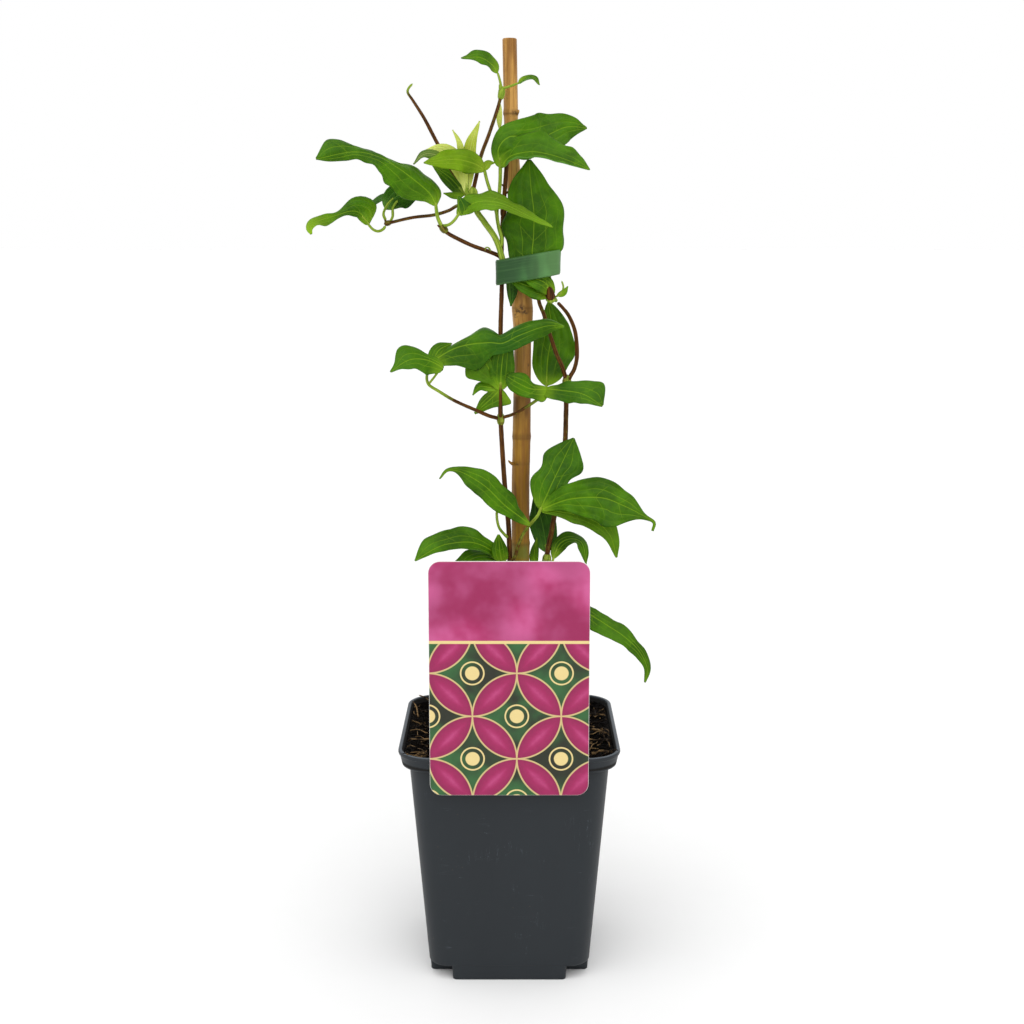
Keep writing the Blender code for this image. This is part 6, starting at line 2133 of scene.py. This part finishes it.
            (1, 2.6, 4.2, 5, 6.8, 7.6, 0.8), (4, 4.6, 4.5, 5, 4.3, 2.3, 0.5), (0, -0.88, 0.48), wave=0.5,
            tint_and_shade=(-0.3, -0.25)),
        Blade([(15.6, -9.1, 243.4), (8.8, -11.4, 243.8), (4, -12.8, 246), (-1, -13.4, 249)],
            (4, 5.2, 4.6, 4.4, 4.4, 4, 1.4), (1.2, 1.8, 2.7, 4.2, 4.8, 4, 1.4), (0, -0.92, 0.4), wave=0.3),
        Blade([(15.2, 2.6, 243.6), (15.8, 6.8, 254), (17.5, 8.6, 266), (16, 8, 278)], 7, 10.2, wave=0.6),
    ]),
    LeafSpray("leaf_middle_on_stem", [
        Stalk([(-3.5, -8.4, 232.2), (-3.5, -10.2, 233.8), (-3.5, -10.4, 239), (-3.5, -10.6, 244),
            (-3.4, -10.7, 247)], (0.75, 0.6), (0, 0.1, 0.7)),
        Blade([(-3.5, -10.6, 243), (-3.2, -11, 251), (-2, -11.2, 259.5), (0.6, -10.4, 266.5)], 4.6, 5.2,
            wave=0.4),
        Blade([(-3.5, -10.6, 243), (-8.5, -10.9, 252.5), (-15, -10.8, 263)], (1, 2.5, 6, 9, 8, 5, 0.4),
            (1, 3, 5, 5.5, 5, 3, 0.4), wave=0.3, tint_and_shade=(0.12, 0.12)),
        Blade([(-3.2, -10.3, 244), (-6.8, -10, 240.3), (-10, -9.8, 237.4), (-14, -9.6, 233.6)],
            (8, 7, 5.4, 3.6, 2.5, 1.5, 0.4), (2, 3, 3, 3, 2.5, 1.5, 0.4), (0, -1, 0.05), tint_and_shade=(0.1, 0.1)),
        Blade([(-4.5, -10.1, 243.5), (-8.5, -9.7, 244.2), (-12, -9.2, 244.4), (-14.8, -8.8, 241)], 1.8, 2.2,
            (0, -0.9, 0.4)),
    ]),
    # Just above the label, and beside it
    LeafSpray("leaf_group_low_front", [
        Stalk([(0.6, -7.4, 171.8), (2.3, -8.4, 174.5), (3.6, -8.6, 179), (5.5, -8.4, 183.5),
            (8.2, -8.4, 187.5), (11.5, -9, 191.5), (13.2, -9.5, 195.5)], (0.75, 0.6), (0.3, 0.4, 0.5, 0.9)),
        Blade([(8.8, -8.5, 187.8), (4.4, -12, 191.6), (-2, -14.4, 197), (-10, -15.6, 205),
            (-19, -16.4, 210.6), (-24.5, -17.8, 211.6), (-28, -19, 208.4)], (1, 2.8, 4.3, 5, 4.7, 1, 0.3),
            (0.5, 2.6, 6, 5.6, 4.8, 1.8, 0.3), (0, -0.88, 0.48), wave=0.3),
        Blade([(12.6, -9.4, 194.2), (17, -8.6, 204), (21.5, -6, 213), (26.4, -3.8, 223)],
            (2, 6.3, 8.8, 7.4, 7.8, 5.2, 0.4), (2, 6, 6.6, 6.4, 8.6, 6, 0.4), (0, -1, 0.1), wave=0.6,
            tint_and_shade=(-0.25, -0.25)),
        Blade([(12.8, -9.4, 194.2), (24, -12.8, 199), (37, -15.8, 200.2), (46.5, -17.2, 197),
            (54.5, -18, 193), (58.5, -18.2, 190.5), (57.8, -18.4, 187)], (1, 5, 7.6, 7.6, 6, 1.2, 0.5),
            (1, 3.8, 7.5, 10.8, 9.2, 1.8, 0.5), (0, -0.95, 0.3), wave=0.5),
        Blade([(12.8, -9.2, 194), (25, -9.4, 192.5), (35.5, -9.8, 189), (41.5, -10.4, 183), (44, -11, 174.5)],
            (1, 2, 3.5, 4.6, 4.8, 3, 0.4), (1, 2, 3.5, 4, 3.4, 2.2, 0.4), (0, -0.9, 0.4), wave=0.3,
            tint_and_shade=(0.2, 0.2)),
    ]),
    LeafSpray("leaf_low_back", [
        Stalk([(15.5, 1.4, 170.4), (15.7, 3.1, 171.8), (15.6, 4.5, 174), (15.3, 6, 177)]),
        Blade([(15.6, 4.4, 173.6), (15, 7, 179), (13.5, 8.5, 186.5), (10.5, 9, 197)], 5.4, 6, wave=0.5),
    ], LeafAgeAndShade.SHADED),
    LeafSpray("leaf_low_right", [
        Stalk([(15.9, 0.9, 169.6), (17.9, 0.6, 170.4), (18.8, 1.4, 173.5), (20, 1.6, 176)], (0.55, 0.5)),
        Blade([(18.2, 0.8, 171.5), (20.8, 1.6, 177.4), (25.5, 0.5, 180), (30.2, -2, 178.5),
            (31.8, -5.5, 170.5)], 3.6, 3.6, (0.3, -0.6, 0.75), wave=0.4),
    ]),
    LeafSpray("leaf_low_narrow", [
        Stalk([(15, 1.3, 161.6), (13.9, 2.3, 162.6), (11.6, 3.6, 164.6), (10.6, 3.8, 168.5)], (0.5, 0.45)),
        Blade([(10.7, 3.7, 166.5), (10.4, 3.9, 172.5), (11.6, 3.9, 180)], 1.9, 1.9),
    ]),
    LeafSpray("leaves_low_left", [
        Stalk([(0.1, -7.2, 168.4), (-1, -7.9, 169.3), (-2.8, -9, 171.6), (-5, -10.2, 175.4)], (0.7, 0.6)),
        Blade([(-3, -9.4, 172.4), (-8, -11.4, 178), (-15.5, -13.8, 181.4), (-24, -16.4, 181.4),
            (-30, -18.4, 179.8), (-38, -22, 175.4)], (1.5, 4, 5.5, 6, 5.5, 3, 0.4),
            (1.5, 3.2, 4.8, 7.2, 5.6, 5.2, 0.4), (0, -0.87, 0.5), fold=(45, 0), wave=0.3),
        Blade([(-2.8, -9.2, 171.6), (-9, -11.4, 175), (-16, -13.4, 174), (-22, -15.4, 168), (-25, -17, 160)],
            5, 5, (0, -0.6, 0.8), wave=0.5),
        Blade([(-2.8, -9.4, 172), (-3.8, -11.4, 177), (-4.4, -12.4, 184.5)], (1, 3, 3.6, 3.4, 2.2, 0.5),
            (1, 2.8, 3.4, 3.2, 2, 0.5), fold=(20, 20)),
    ]),
    LeafSpray("leaf_beside_label", [
        Stalk([(14.4, 1.6, 149), (15.9, 0.6, 150), (18.5, -3, 152.6), (22, -8, 155.6), (26.5, -13.2, 157),
            (30, -15.8, 155)], (0.7, 0.6)),
        Blade([(23, -9.8, 156.2), (32, -17, 152.6), (39.5, -20.8, 148.6), (46.5, -23.4, 144.4),
            (52.5, -25.2, 138.8), (55.8, -26.2, 132), (55, -26.4, 126)], (2, 3.2, 3.4, 3.9, 3, 2.2, 0.4),
            (2, 4.6, 5.2, 4.6, 3.4, 2, 0.4), (0.1, -0.8, 0.6), turn=(0, 0, 0, -20), wave=0.3),
    ]),
)


def main() -> None:
    """Build the studio and every sub-assembly in order."""
    logging.basicConfig(level=logging.INFO, format="%(message)s")
    Studio().build()
    pot = Pot()
    pot.build()
    Soil().build(pot)
    Cane().build()
    Tie().build()
    Label().build()
    skin = StalkSkin().material()
    Stems(STEMS, skin).build()
    Foliage(LEAVES, skin).build()


if __name__ == "__main__":
    main()
